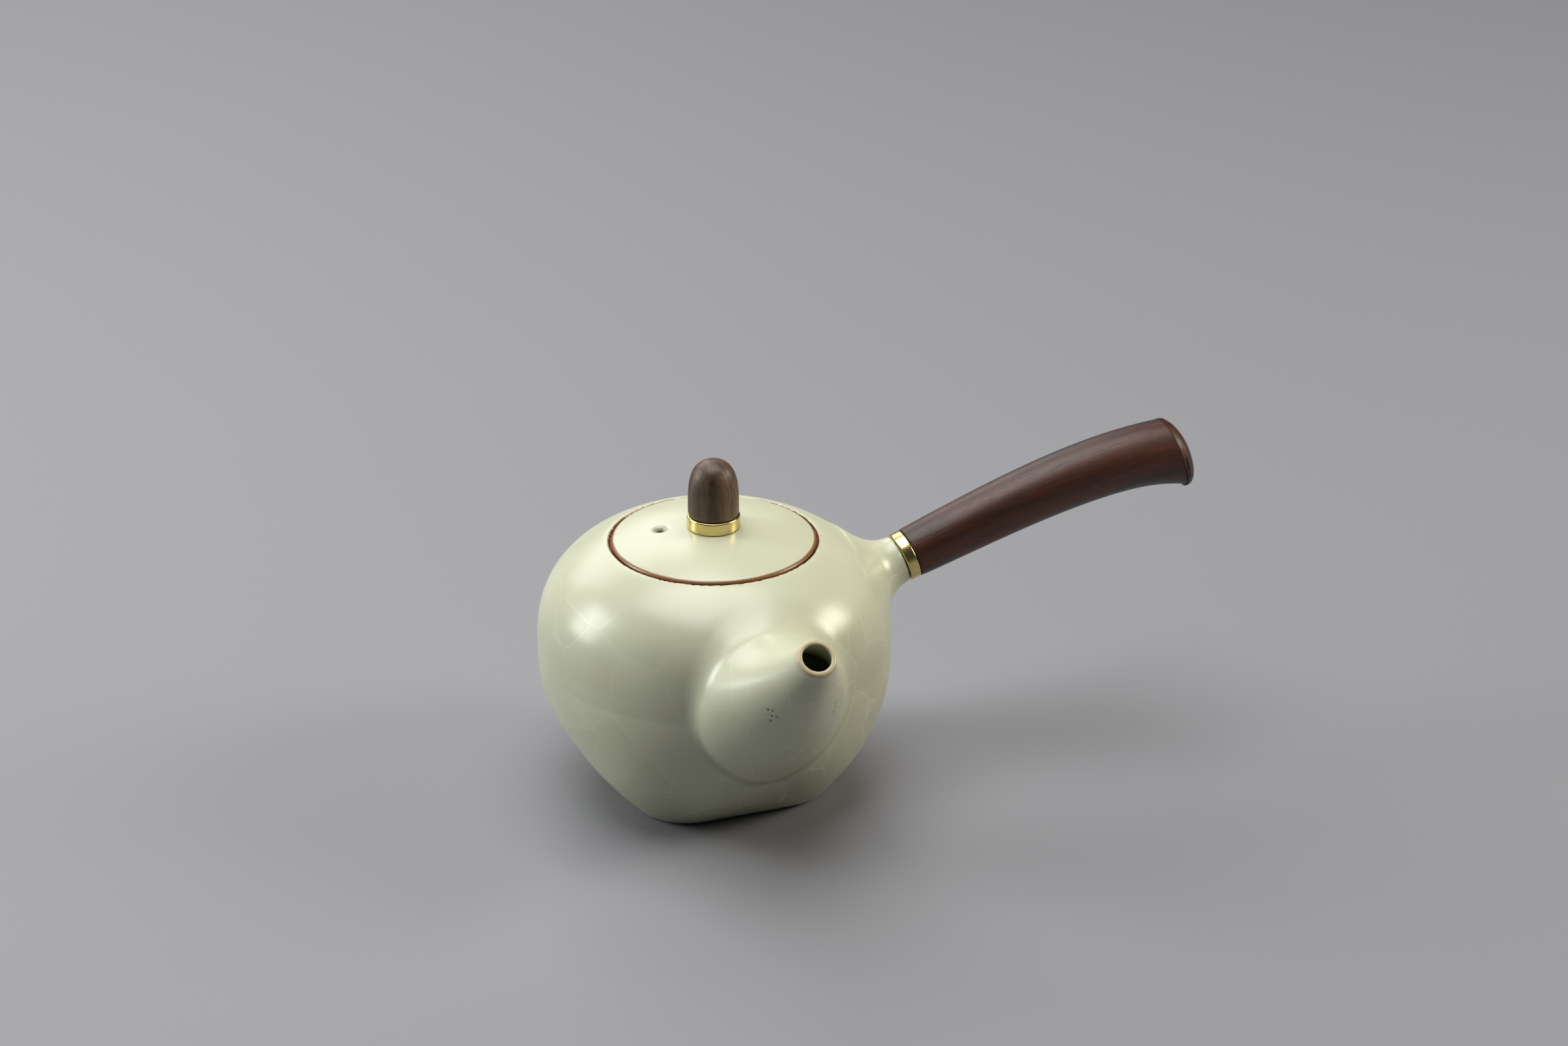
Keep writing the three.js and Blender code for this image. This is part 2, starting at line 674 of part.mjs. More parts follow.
const handle = new THREE.Group();
handle.position.copy(handleStart);
handle.rotation.y = -handleTilt;
handle.add(socketBush(), handleStud(), handleFerrule(), gripInsert(), handleGrip());

const lidGroup = new THREE.Group();
lidGroup.position.z = SEAT_HEIGHT + GAP;
lidGroup.add(lid(), knobCollar(), knobWasher(), knobScrew(), knobInsert(), knob());

const teapot = new THREE.Group();
teapot.add(potBody(), spoutStrainer(), handle, lidGroup);

export default teapot;
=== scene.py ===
"""Side-handle teapot: celadon-glazed stoneware, rosewood grip and knob, polished brass fittings.

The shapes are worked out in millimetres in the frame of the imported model: the origin is the
middle of the foot, +Z is up, the handle points along +X and the spout along -Y. Meshes are
written in metres.
"""

import itertools
import math

import bpy
import numpy as np
from bpy.props import FloatProperty, FloatVectorProperty, PointerProperty
from mathutils import Matrix, Vector


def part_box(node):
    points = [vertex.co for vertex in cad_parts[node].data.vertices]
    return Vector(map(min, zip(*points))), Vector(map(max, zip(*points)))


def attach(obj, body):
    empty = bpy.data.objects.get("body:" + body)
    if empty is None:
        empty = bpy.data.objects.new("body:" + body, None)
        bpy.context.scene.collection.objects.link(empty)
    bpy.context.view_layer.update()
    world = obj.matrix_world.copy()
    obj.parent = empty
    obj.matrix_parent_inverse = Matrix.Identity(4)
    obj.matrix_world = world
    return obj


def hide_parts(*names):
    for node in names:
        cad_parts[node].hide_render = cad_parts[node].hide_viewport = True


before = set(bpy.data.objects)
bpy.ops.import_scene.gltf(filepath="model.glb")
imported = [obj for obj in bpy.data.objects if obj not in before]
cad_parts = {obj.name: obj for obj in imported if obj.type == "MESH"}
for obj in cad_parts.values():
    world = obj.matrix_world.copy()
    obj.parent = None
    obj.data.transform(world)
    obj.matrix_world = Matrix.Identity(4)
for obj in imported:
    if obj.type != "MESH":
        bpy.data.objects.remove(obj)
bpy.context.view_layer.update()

bl_info = {
    "name": "Side-handle teapot",
    "version": (1, 0, 0),
    "blender": (4, 5, 0),
    "location": "View3D > Sidebar > Teapot",
    "description": "Glazed side-handle teapot with a rosewood grip and brass fittings",
    "category": "Add Mesh",
}

MM = 0.001

# Shape constants that belong together with the sizes in the panel
SHOULDER_FULLNESS = 2.45
BELLY_FULLNESS = 2.15
FOOT_CORNER_SHARE = 0.368
CORNER_FADE = 0.35
ROUND_HEIGHT = 38.0
FLOOR_THICKNESS = 4.0
RIM_RISE = 1.2
CEILING_DROP = 3.6
PORT_RADIUS = 11.0
PORT_HEIGHT = 33.0
TIP_ANGLE = math.radians(52)
SPOUT_BULGE = 0.13
SOCKET_REACH = 7.6
SOCKET_DEPTH = 8.0
SOCKET_HOLE_RADIUS = 4.4
HANDLE_SLOPE = math.radians(19)
GAP = 0.3
STRAINER_RADIUS = 15.0
STRAINER_WALL = 2.0
STRAINER_HOLE_RADIUS = 1.2
STRAINER_RINGS = 4
STRAINER_RING_STEP = math.radians(17)
VENT_RADIUS = 0.8
VENT_TURN = math.radians(161)
VENT_PLACE = (13.6 * math.cos(VENT_TURN), 13.6 * math.sin(VENT_TURN))
SCREW_HOLE_RADIUS = 2.3
STUD_HOLE_RADIUS = 2.8
STUD_HOLE_DEPTH = 20.9
INSERT_HOLE_DEPTH = 14.6
GRIP_DROP = 8.1
GRIP_TURN = math.radians(20)
GRIP_END_SLANT = math.radians(19)
GRIP_GRAIN_TURN = math.radians(78)
LAMP_AIM = (0.0, 0.0, 0.045)


def linear(hex_colour):
    """The linear RGBA of an sRGB hex colour."""
    channels = [int(hex_colour[place:place + 2], 16) / 255 for place in (1, 3, 5)]
    return tuple(
        c / 12.92 if c <= 0.04045 else ((c + 0.055) / 1.055) ** 2.4 for c in channels
    ) + (1.0,)


def length(name, millimetres, description):
    return FloatProperty(
        name=name, description=description, default=millimetres * MM, min=0.0,
        subtype="DISTANCE", unit="LENGTH", precision=4,
    )


def colour(name, hex_colour, description):
    return FloatVectorProperty(
        name=name, description=description, default=linear(hex_colour), size=4,
        min=0.0, max=1.0, subtype="COLOR",
    )


class TeapotSizes(bpy.types.PropertyGroup):
    """Sizes of the teapot's pieces."""

    body_diameter: length("Body diameter", 92, "Width of the pot at its waist")
    waist_height: length("Waist height", 41, "Height of the widest place")
    seat_height: length("Seat height", 67, "Height of the seat under the lid")
    crown_rise: length("Crown rise", 5.3, "Height of the shoulder's crown above the seat")
    foot_width: length("Foot width", 50, "Width of the squared foot")
    wall: length("Wall", 3.2, "Thickness of the pot's wall")
    mouth_diameter: length("Mouth diameter", 44, "Width of the opening under the lid")
    spout_overhang: length("Spout overhang", 27.3, "Reach of the spout past the waist")
    spout_tip_rise: length("Spout tip rise", 1.3, "Height of the spout's tip above the seat")
    spout_tip: length("Spout tip diameter", 9.4, "Outer width of the spout's tip")
    spout_hole: length("Spout hole diameter", 7.1, "Width of the hole in the tip")
    spout_root_width: length("Spout root width", 42, "Width of the spout at the pot")
    handle_height: length("Handle height", 51.5, "Height at which the handle's axis leaves")
    lid_diameter: length("Lid diameter", 53.4, "Width of the lid")
    lid_rise: length("Lid rise", 3.5, "Rise of the lid's dome")
    grip_length: length("Grip length", 78.6, "Length of the wooden grip")
    grip_root: length("Grip root diameter", 13.3, "Thickness of the grip at the ferrule")
    grip_end: length("Grip end diameter", 17, "Thickness of the grip near its end")
    knob_diameter: length("Knob diameter", 13.2, "Thickness of the knob at its collar")
    ferrule_diameter: length("Ferrule diameter", 13.2, "Width of the brass ferrule")
    ferrule_length: length("Ferrule length", 2.6, "Length of the brass ferrule")
    crackle_cell: length("Crackle cell", 13, "Usual distance between crackle lines")


class TeapotColours(bpy.types.PropertyGroup):
    """Colours of the teapot's finishes."""

    glaze: colour("Glaze", "#c6c8ae", "The glaze where it lies evenly")
    glaze_pool: colour("Glaze pool", "#b9baa0", "The glaze where it ran thicker")
    glaze_thin: colour("Thin glaze", "#865a38", "Clay showing through at the lid's edge")
    lip: colour("Spout lip", "#b9a67e", "Thin glaze on the spout's lip")
    crackle: colour("Crackle", "#cfd1ba", "The crackle's lines")
    clay: colour("Clay", "#b3a68c", "Bare fired stoneware")
    wood_light: colour("Light grain", "#4c220c", "The lighter growth of the grip's rosewood")
    wood_dark: colour("Dark grain", "#120602", "The darker growth of the grip's rosewood")
    knob_light: colour("Light knob grain", "#70563f", "The lighter growth of the knob's rosewood")
    knob_dark: colour("Dark knob grain", "#35261b", "The darker growth of the knob's rosewood")
    brass: colour("Brass", "#e4d190", "Polished brass")
    floor: colour("Floor", "#838388", "The table under the pot")


def sizes():
    """The panel's sizes, in millimetres."""
    group = bpy.context.scene.teapot_sizes
    names = group.bl_rna.properties.keys()
    values = {n: getattr(group, n) / MM for n in names if n not in ("rna_type", "name")}
    return type("Sizes", (), values)


def colours():
    return bpy.context.scene.teapot_colours


# Fields: a negative value lies inside the shape, and values are close to distances in mm


def smooth_min(first, second, blend):
    overlap = np.clip(blend - np.abs(first - second), 0, None) / blend
    return np.minimum(first, second) - overlap**2 * blend / 4


def smooth_max(first, second, blend):
    return -smooth_min(-first, -second, blend)


def half_width(size, height):
    radius = size.body_diameter / 2
    span = size.seat_height + size.crown_rise - size.waist_height
    rise = np.clip((height - size.waist_height) / span, 0, 1)
    drop = np.clip(1 - height / size.waist_height, 0, None)
    upper = radius * (1 - rise**SHOULDER_FULLNESS) ** (1 / SHOULDER_FULLNESS)
    lower = radius - (radius - size.foot_width / 2) * drop**BELLY_FULLNESS
    return np.where(height > size.waist_height, upper, lower)


def square_reach(angle, height):
    """Reach of a rounded square of half width 1, squarer towards the foot."""
    fade = np.clip(height / ROUND_HEIGHT, 0, 1) ** CORNER_FADE
    corner = FOOT_CORNER_SHARE + (1 - FOOT_CORNER_SHARE) * fade
    core = 1 - corner
    across, along = np.abs(np.cos(angle)), np.abs(np.sin(angle))
    flat = 1 / np.maximum(across, along)
    middle = core * (across + along)
    rounded = middle + np.sqrt(np.clip(middle**2 - 2 * core**2 + corner**2, 0, None))
    return np.where(flat * np.minimum(across, along) <= core, flat, rounded)


def body_field(size, x, y, z):
    step = 0.05
    half = half_width(size, z)
    slope = (half_width(size, z + step) - half_width(size, z - step)) / (2 * step)
    slope = np.clip(slope, -4, 4)
    reach = square_reach(np.arctan2(y, x), z)
    return (np.hypot(x, y) / reach - half) / np.hypot(1, slope)


def sagging_line(start, end, sag):
    """A curve in the plane of y and z whose middle hangs below the straight line."""
    start, end = np.array(start), np.array(end)
    upward = np.array([end[1] - start[1], start[0] - end[0]])
    control = (start + end) / 2 - 2 * sag * upward / np.linalg.norm(upward)
    return start, control, end


def on_line(line, share):
    start, control, end = line
    return [
        (1 - share) ** 2 * start[n] + 2 * share * (1 - share) * control[n] + share**2 * end[n]
        for n in (0, 1)
    ]


def spout_tip_place(size):
    return -size.body_diameter / 2 - size.spout_overhang, size.seat_height + size.spout_tip_rise


def spout_lines(size):
    tip_y, tip_z = spout_tip_place(size)
    up_y, up_z = math.sin(TIP_ANGLE), math.cos(TIP_ANGLE)
    radius = size.spout_tip / 2
    root_top, root_base = size.seat_height - 6, 16.5
    top_start = (-float(half_width(size, root_top)), root_top)
    base_start = (-float(half_width(size, root_base)), root_base)
    top = sagging_line(top_start, (tip_y + up_y * radius, tip_z + up_z * radius), 3.0)
    base = sagging_line(base_start, (tip_y - up_y * radius, tip_z - up_z * radius), 2.5)
    return top, base


def spout_stations(size, y, z):
    """Where each point stands on the spout: its share along, its height across the section and
    the section's half height, and how far it lies before the root or past the tip."""
    top, base = spout_lines(size)

    def ahead(share):
        top_y, top_z = on_line(top, share)
        base_y, base_z = on_line(base, share)
        span_y, span_z = top_y - base_y, top_z - base_z
        side = (y - base_y) * span_z - (z - base_z) * span_y
        return side, span_y, span_z, (top_y + base_y) / 2, (top_z + base_z) / 2

    low = np.zeros(np.broadcast(y, z).shape)
    high = np.ones_like(low)
    for _ in range(26):
        middle = (low + high) / 2
        past = ahead(middle)[0] < 0
        low = np.where(past, middle, low)
        high = np.where(past, high, middle)
    share = (low + high) / 2
    side, span_y, span_z, middle_y, middle_z = ahead(share)
    span = np.hypot(span_y, span_z)
    height = ((y - middle_y) * span_y + (z - middle_z) * span_z) / span
    return share, height, span / 2, side / span


def past_tip(size, y, z):
    """Distance in front of the plane that ends the spout."""
    tip_y, tip_z = spout_tip_place(size)
    return (z - tip_z) * math.sin(TIP_ANGLE) - (y - tip_y) * math.cos(TIP_ANGLE)


def spout_field(size, x, y, z, wall_root=0.0, wall_tip=0.0):
    """The spout's outside, or its hollow when it is given walls."""
    share, height, half, off = spout_stations(size, y, z)
    root_half = math.dist(*(on_line(line, 0) for line in spout_lines(size))) / 2
    ratio = size.spout_root_width / 2 / root_half
    ratio = ratio + (1 - ratio) * share + 4 * SPOUT_BULGE * share * (1 - share)
    wall = wall_root + (wall_tip - wall_root) * share
    lip = 0.0
    if wall_tip == 0:
        lip = 0.32 * np.clip((share - 0.955) / 0.02, 0, 1) ** 2
    tall = np.maximum(half - wall + lip, 0.5)
    wide = np.maximum(half * ratio - wall + lip, 0.5)
    ring = (np.hypot(x / wide, height / tall) - 1) * np.minimum(wide, tall)
    return ring, off, height / half


def handle_frame(size):
    """The middle of the socket's end face, and the direction of the handle's axis."""
    along = np.array([math.cos(HANDLE_SLOPE), 0, math.sin(HANDLE_SLOPE)])
    start = np.array([float(half_width(size, size.handle_height)), 0, size.handle_height])
    return start + SOCKET_REACH * along, along


def handle_coordinates(size, x, y, z):
    start, along = handle_frame(size)
    offset = (x - start[0], y - start[1], z - start[2])
    depth = sum(part * way for part, way in zip(offset, along))
    out = np.sqrt(np.clip(sum(part**2 for part in offset) - depth**2, 0, None))
    return depth, out


def pot_field(size, x, y, z):
    body = body_field(size, x, y, z)
    radius = np.hypot(x, y)
    seat = size.seat_height

    # the shoulder runs up to the rim round the lid
    outside = smooth_max(smooth_max(body, z - seat - RIM_RISE - 0.15, 0.8), -z, 1.6)

    ring, off, turn = spout_field(size, x, y, z)
    spout = smooth_max(ring, np.maximum(past_tip(size, y, z), off - 9), 0.7)
    # a soft joint at the top, a tighter one at the sides and a crease under the belly
    soft = np.clip(turn, 0, 1)
    soft = soft * soft * (3 - 2 * soft)
    outside = smooth_min(outside, spout, 0.8 + 1.9 * np.clip(turn + 0.6, 0, 1) + 1.8 * soft)

    depth, out = handle_coordinates(size, x, y, z)
    root = SOCKET_REACH + size.wall
    back = np.clip(-depth / root, 0, 1.2)
    socket = smooth_max(out - 6.4 - 7 * back**2.2, np.maximum(depth, -root - depth), 0.7)
    outside = smooth_min(outside, socket, 2.5)

    floor, ceiling = FLOOR_THICKNESS - z, z - (seat - CEILING_DROP)
    chamber = smooth_max(smooth_max(body + size.wall, floor, 4), ceiling, 2)
    mouth = np.maximum(radius - size.mouth_diameter / 2, seat - CEILING_DROP - 3 - z)
    inside = smooth_min(chamber, mouth, 0.8)
    seat_rim = size.lid_diameter / 2 + GAP
    inside = np.minimum(inside, smooth_max(radius - seat_rim, seat - z, 0.3))

    tip_wall = (size.spout_tip - size.spout_hole) / 2
    bore, off, _ = spout_field(size, x, y, z, 2.8, tip_wall)
    bore = np.maximum(bore, off - 9)
    port = np.maximum(np.hypot(x, z - PORT_HEIGHT) - PORT_RADIUS, y + 37)
    port = np.maximum(np.maximum(port, -52 - y), np.minimum(body, bore))
    inside = np.minimum(inside, smooth_min(np.maximum(bore, -body), port, 0.6))

    hole = np.maximum(out - SOCKET_HOLE_RADIUS, -SOCKET_DEPTH - depth)
    return smooth_max(outside, -np.minimum(inside, hole), 0.7)


def strainer_field(size, x, y, z):
    """A ball-shaped strainer with rings of round holes, cut off by the chamber's wall."""
    middle = np.array([0, -float(half_width(size, PORT_HEIGHT)) + size.wall * 1.05, PORT_HEIGHT])
    dx, dy, dz = x - middle[0], y - middle[1], z - middle[2]
    distance = np.sqrt(dx**2 + dy**2 + dz**2)
    hollow = STRAINER_RADIUS - STRAINER_WALL
    shell = smooth_max(distance - STRAINER_RADIUS, hollow - distance, 0.8)
    holes = np.full(np.broadcast(x, y, z).shape, 9.0)
    for ring in range(STRAINER_RINGS):
        lean, count = STRAINER_RING_STEP * ring, max(6 * ring, 1)
        for index in range(count):
            turn = 2 * math.pi * index / count
            ax = math.sin(lean) * math.sin(turn)
            az = math.sin(lean) * math.cos(turn)
            ay = math.cos(lean)
            depth = dx * ax + dy * ay + dz * az
            out = np.sqrt(np.clip(distance**2 - depth**2, 0, None))
            holes = np.minimum(holes, np.where(depth > 0, out - STRAINER_HOLE_RADIUS, 9.0))
    shell = smooth_max(shell, -holes, 0.7)
    return smooth_max(shell, body_field(size, x, y, z) + size.wall + GAP, 0.6)


def lid_field(size, x, y, z):
    low = size.seat_height + GAP
    rim = size.lid_diameter / 2
    radius = np.hypot(x, y)
    share = np.clip(radius / (rim - 0.6), 0, 1.1)
    top = low + 1.3 + size.lid_rise * (1 - share**2.4)
    disc = smooth_max(smooth_max(radius - rim, z - top, 1.2), low - z, 0.9)
    flange_out, flange_in = size.mouth_diameter / 2 - 0.5, size.mouth_diameter / 2 - 3.1
    flange = np.maximum(radius - flange_out, low - 8 - z)
    flange = smooth_max(flange, z - low - 0.5, 0.3)
    shape = smooth_min(disc, flange, 0.8)
    ceiling = low + 1.46
    hollow = smooth_max(radius - flange_in, z - ceiling, 5)
    vent = np.hypot(x - VENT_PLACE[0], y - VENT_PLACE[1]) - VENT_RADIUS
    shape = smooth_max(shape, -smooth_min(hollow, radius - SCREW_HOLE_RADIUS, 0.8), 0.9)
    return smooth_max(shape, -vent, 2.2)


# Meshes


def graded(low, high, coarse, fine_spans, fine):
    """Grid positions from low to high, closer together inside the fine spans."""
    places, place = [], low
    while place < high + coarse:
        places.append(place)
        close = any(start <= place < end for start, end in fine_spans)
        place += fine if close else coarse
    return np.array(places)


def crossing_mesh(field, axes):
    """Quads through the cells where a field changes sign."""
    grid = np.meshgrid(*axes, indexing="ij", sparse=True)
    shape = tuple(len(axis) for axis in axes)
    values = np.broadcast_to(field(*grid), shape)
    inside = values < 0
    cells = tuple(n - 1 for n in shape)

    def corner(array, step):
        return array[tuple(slice(s, s + n) for s, n in zip(step, cells))]

    corners = list(itertools.product((0, 1), repeat=3))
    count = sum(corner(inside, step).astype(np.int8) for step in corners)
    live = (count > 0) & (count < 8)
    index = np.full(cells, -1)
    index[live] = np.arange(live.sum())
    where = np.argwhere(live)
    total, hits = np.zeros(where.shape), np.zeros(len(where))
    for axis in range(3):
        first, second = (n for n in range(3) if n != axis)
        for u, v in itertools.product((0, 1), repeat=2):
            start = [0, 0, 0]
            start[first], start[second] = u, v
            end = list(start)
            end[axis] = 1
            a, b = corner(values, start)[live], corner(values, end)[live]
            crossed = (a < 0) != (b < 0)
            share = np.where(crossed, a / np.where(crossed, a - b, 1), 0)
            point = np.empty(where.shape)
            point[:, first] = axes[first][where[:, first] + u]
            point[:, second] = axes[second][where[:, second] + v]
            near, far = axes[axis][where[:, axis]], axes[axis][where[:, axis] + 1]
            point[:, axis] = near + share * (far - near)
            total += point * crossed[:, None]
            hits += crossed
    faces = []
    for axis in range(3):
        order = [(axis + n) % 3 for n in range(3)]
        turned, cell = inside.transpose(order), index.transpose(order)
        i, j, k = np.nonzero(turned[:-1, 1:-1, 1:-1] != turned[1:, 1:-1, 1:-1])
        quad = np.stack([cell[i, j, k], cell[i, j + 1, k], cell[i, j + 1, k + 1],
                         cell[i, j, k + 1]], axis=1)
        entering = ~turned[i, j + 1, k + 1]
        quad[entering] = quad[entering, ::-1]
        faces.append(quad)
    return total / hits[:, None], np.concatenate(faces)


def slope_of(field, points, reach=0.03):
    parts = []
    for axis in range(3):
        offset = np.zeros(3)
        offset[axis] = reach
        rise = field(*(points + offset).T) - field(*(points - offset).T)
        parts.append(rise / (2 * reach))
    return np.stack(parts, axis=1)


def field_piece(name, field, axes):
    """A closed piece whose points lie on the field's zero surface, with exact normals."""
    points, faces = crossing_mesh(field, axes)
    for _ in range(5):
        slope = slope_of(field, points)
        steep = np.maximum((slope**2).sum(1), 0.2)
        move = -(field(*points.T) / steep)[:, None] * slope
        far = np.linalg.norm(move, axis=1, keepdims=True)
        points = points + move * np.minimum(1, 0.35 / np.maximum(far, 1e-9))
    normals = slope_of(field, points)
    normals /= np.maximum(np.linalg.norm(normals, axis=1, keepdims=True), 1e-9)
    return new_piece(name, points, faces, normals)


def area_normals(points, faces):
    """Vertex normals that lean towards the larger faces, so that flats stay flat."""
    total = np.zeros(points.shape)
    for face in faces:
        ring = points[list(face)]
        cross = sum(np.cross(ring[n] - ring[0], ring[n + 1] - ring[0])
                    for n in range(1, len(face) - 1))
        total[list(face)] += cross
    return total / np.maximum(np.linalg.norm(total, axis=1, keepdims=True), 1e-12)


def new_piece(name, points, faces, normals=None):
    mesh = bpy.data.meshes.new(name)
    mesh.from_pydata((points * MM).tolist(), [], [list(map(int, face)) for face in faces])
    mesh.polygons.foreach_set("use_smooth", [True] * len(mesh.polygons))
    mesh.update()
    if normals is None:
        normals = area_normals(points, faces)
    mesh.normals_split_custom_set_from_vertices(normals.tolist())
    piece = bpy.data.objects.new(name, mesh)
    bpy.context.scene.collection.objects.link(piece)
    return piece


def filleted(corners, steps=5):
    """A profile through corners of (radius, height, fillet)."""
    points = []
    for place, (x, z, fillet) in enumerate(corners):
        here = np.array([x, z], float)
        if fillet == 0:
            points.append(here)
            continue
        before = np.array(corners[place - 1][:2], float)
        after = np.array(corners[(place + 1) % len(corners)][:2], float)
        start = here + (before - here) / np.linalg.norm(before - here) * fillet
        end = here + (after - here) / np.linalg.norm(after - here) * fillet
        for step in range(steps + 1):
            t = step / steps
            points.append((1 - t) ** 2 * start + 2 * t * (1 - t) * here + t**2 * end)
    return points


def rings_to_faces(ring_count, sides, closed):
    faces = []
    for ring in range(ring_count if closed else ring_count - 1):
        following = (ring + 1) % ring_count
        for side in range(sides):
            beyond = (side + 1) % sides
            faces.append((ring * sides + side, ring * sides + beyond,
                          following * sides + beyond, following * sides + side))
    return faces


def capped(ring_count, sides):
    """Faces of a stack of rings that two last points close, one at each end."""
    faces = rings_to_faces(ring_count, sides, False)
    start, last = ring_count * sides, (ring_count - 1) * sides
    for side in range(sides):
        beyond = (side + 1) % sides
        faces.append((start, beyond, side))
        faces.append((start + 1, last + side, last + beyond))
    return faces


def turned_points(profile, sides, on_axis):
    """Points and faces of a profile turned about Z. A profile that isn't closed on itself
    starts and ends on the axis, and rises along the outside."""
    body = profile[1:-1] if on_axis else profile
    turn = np.arange(sides) * 2 * math.pi / sides
    points = [(r * math.cos(a), r * math.sin(a), z) for r, z in body for a in turn]
    if not on_axis:
        return np.array(points, float), rings_to_faces(len(body), sides, True)
    points += [(0, 0, profile[0][1]), (0, 0, profile[-1][1])]
    return np.array(points, float), capped(len(body), sides)


def to_handle(size, points):
    """Takes points made along +Z to the handle's axis."""
    start, along = handle_frame(size)
    across = np.array([0.0, 1.0, 0.0])
    third = np.cross(along, across)
    return start + points[:, 2:3] * along + points[:, 1:2] * across - points[:, 0:1] * third


# Materials


def add(tree, kind, inputs=None, **settings):
    """Adds a node with its settings, and feeds its inputs."""
    item = tree.nodes.new(kind)
    for name, value in settings.items():
        setattr(item, name, value)
    feed(tree, item, inputs or {})
    return item


def feed(tree, item, inputs):
    """Sets sockets to values, or links them to an output or to another node's first output."""
    for socket, value in inputs.items():
        if isinstance(value, bpy.types.Node):
            value = value.outputs[0]
        if isinstance(value, bpy.types.NodeSocket):
            tree.links.new(value, item.inputs[socket])
        else:
            item.inputs[socket].default_value = value


def new_material(name):
    material = bpy.data.materials.get(name)
    if material:
        return material, None, None
    material = bpy.data.materials.new(name)
    material.use_nodes = True
    tree = material.node_tree
    return material, tree, tree.nodes["Principled BSDF"]


def celadon_glaze():
    """Celadon over stoneware, dipped and fired: glassy and deep, with a wide crackle."""
    material, tree, shader = new_material("celadon_crackle_glaze")
    if tree is None:
        return material
    tone, size = colours(), sizes()
    place = add(tree, "ShaderNodeTexCoord").outputs["Object"]
    # slow drift of the glaze's thickness, over about 40 mm
    drift = add(tree, "ShaderNodeTexNoise", {"Vector": place, "Scale": 26.0, "Detail": 2.0})
    drift_share = add(tree, "ShaderNodeMapRange", {
        "Value": drift.outputs["Fac"], "From Min": 0.35, "From Max": 0.7})
    base = add(tree, "ShaderNodeMix", {
        "Factor": drift_share, 6: tone.glaze, 7: tone.glaze_pool}, data_type="RGBA")
    # crackle: curved lines, one cell about the panel's size
    bend = add(tree, "ShaderNodeTexNoise", {"Vector": place, "Scale": 45.0, "Detail": 1.0})
    shift = add(tree, "ShaderNodeVectorMath", {0: bend.outputs["Color"], 1: (0.5, 0.5, 0.5)},
                operation="SUBTRACT")
    shift = add(tree, "ShaderNodeVectorMath", {0: shift, "Scale": 0.012},
                operation="SCALE")
    curved = add(tree, "ShaderNodeVectorMath", {0: place, 1: shift})
    cell = size.crackle_cell * MM
    plates = add(tree, "ShaderNodeTexVoronoi", {
        "Vector": curved, "Scale": 1 / cell}, feature="F1")
    edge = add(tree, "ShaderNodeTexVoronoi", {
        "Vector": curved, "Scale": 1 / cell}, feature="DISTANCE_TO_EDGE")
    # a line is about 0.3 mm wide, drawn a little wider than life so that it shows
    line = add(tree, "ShaderNodeMapRange", {
        "Value": edge.outputs["Distance"], "From Min": 0.05 / size.crackle_cell,
        "From Max": 0.24 / size.crackle_cell, "To Min": 1.0, "To Max": 0.0})
    patch = add(tree, "ShaderNodeTexNoise", {"Vector": place, "Scale": 18.0, "Detail": 0.0})
    seen = add(tree, "ShaderNodeMapRange", {
        "Value": patch.outputs["Fac"], "From Min": 0.4, "From Max": 0.62,
        "To Min": 0.3, "To Max": 0.85})
    line = add(tree, "ShaderNodeMath", {0: line, 1: seen},
               operation="MULTIPLY")
    # it fades out above the shoulder, where the glaze is thin
    part = add(tree, "ShaderNodeSeparateXYZ", {0: place})
    walls = add(tree, "ShaderNodeMapRange", {
        "Value": part.outputs[2], "From Min": 56 * MM, "From Max": 66 * MM,
        "To Min": 1.0, "To Max": 0.1})
    line = add(tree, "ShaderNodeMath", {0: line, 1: walls},
               operation="MULTIPLY")
    # each plate of the crackle is a shade of its own
    plate_tone = add(tree, "ShaderNodeSeparateColor", {0: plates.outputs["Color"]})
    plate_share = add(tree, "ShaderNodeMath", {0: plate_tone.outputs[0], 1: 0.22},
                      operation="MULTIPLY")
    plate_share = add(tree, "ShaderNodeMath", {0: plate_share, 1: walls},
                      operation="MULTIPLY")
    shaded = add(tree, "ShaderNodeMix", {
        "Factor": plate_share, 6: base.outputs[2],
        7: linear("#a3a78a")}, data_type="RGBA")
    lined = add(tree, "ShaderNodeMix", {
        "Factor": line, 6: shaded.outputs[2], 7: tone.crackle}, data_type="RGBA")

    across = add(tree, "ShaderNodeCombineXYZ", {0: part.outputs[0], 1: part.outputs[1]})
    radius = add(tree, "ShaderNodeVectorMath", {0: across}, operation="LENGTH")
    # the joint of lid and pot, where the glaze runs off the rounded rims and leaves them brown
    rim_place = (size.lid_diameter / 2 - 0.1) * MM
    rim_height = (size.seat_height + RIM_RISE + 0.1) * MM
    aside = add(tree, "ShaderNodeMath", {0: radius.outputs["Value"], 1: rim_place},
                operation="SUBTRACT")
    above = add(tree, "ShaderNodeMath", {0: part.outputs[2], 1: rim_height},
                operation="SUBTRACT")
    away = add(tree, "ShaderNodeVectorMath", {
        0: add(tree, "ShaderNodeCombineXYZ", {
            0: aside, 1: above}).outputs[0]}, operation="LENGTH")
    wander = add(tree, "ShaderNodeTexNoise", {"Vector": place, "Scale": 160.0, "Detail": 2.0})
    wander = add(tree, "ShaderNodeMath", {0: wander.outputs["Fac"], 1: 0.4 * MM},
                 operation="MULTIPLY")
    away = add(tree, "ShaderNodeMath", {0: away.outputs["Value"], 1: wander},
               operation="ADD")
    rim = add(tree, "ShaderNodeMapRange", {
        "Value": away, "From Min": 0.75 * MM, "From Max": 1.15 * MM,
        "To Min": 1.0, "To Max": 0.0}, interpolation_type="SMOOTHSTEP")
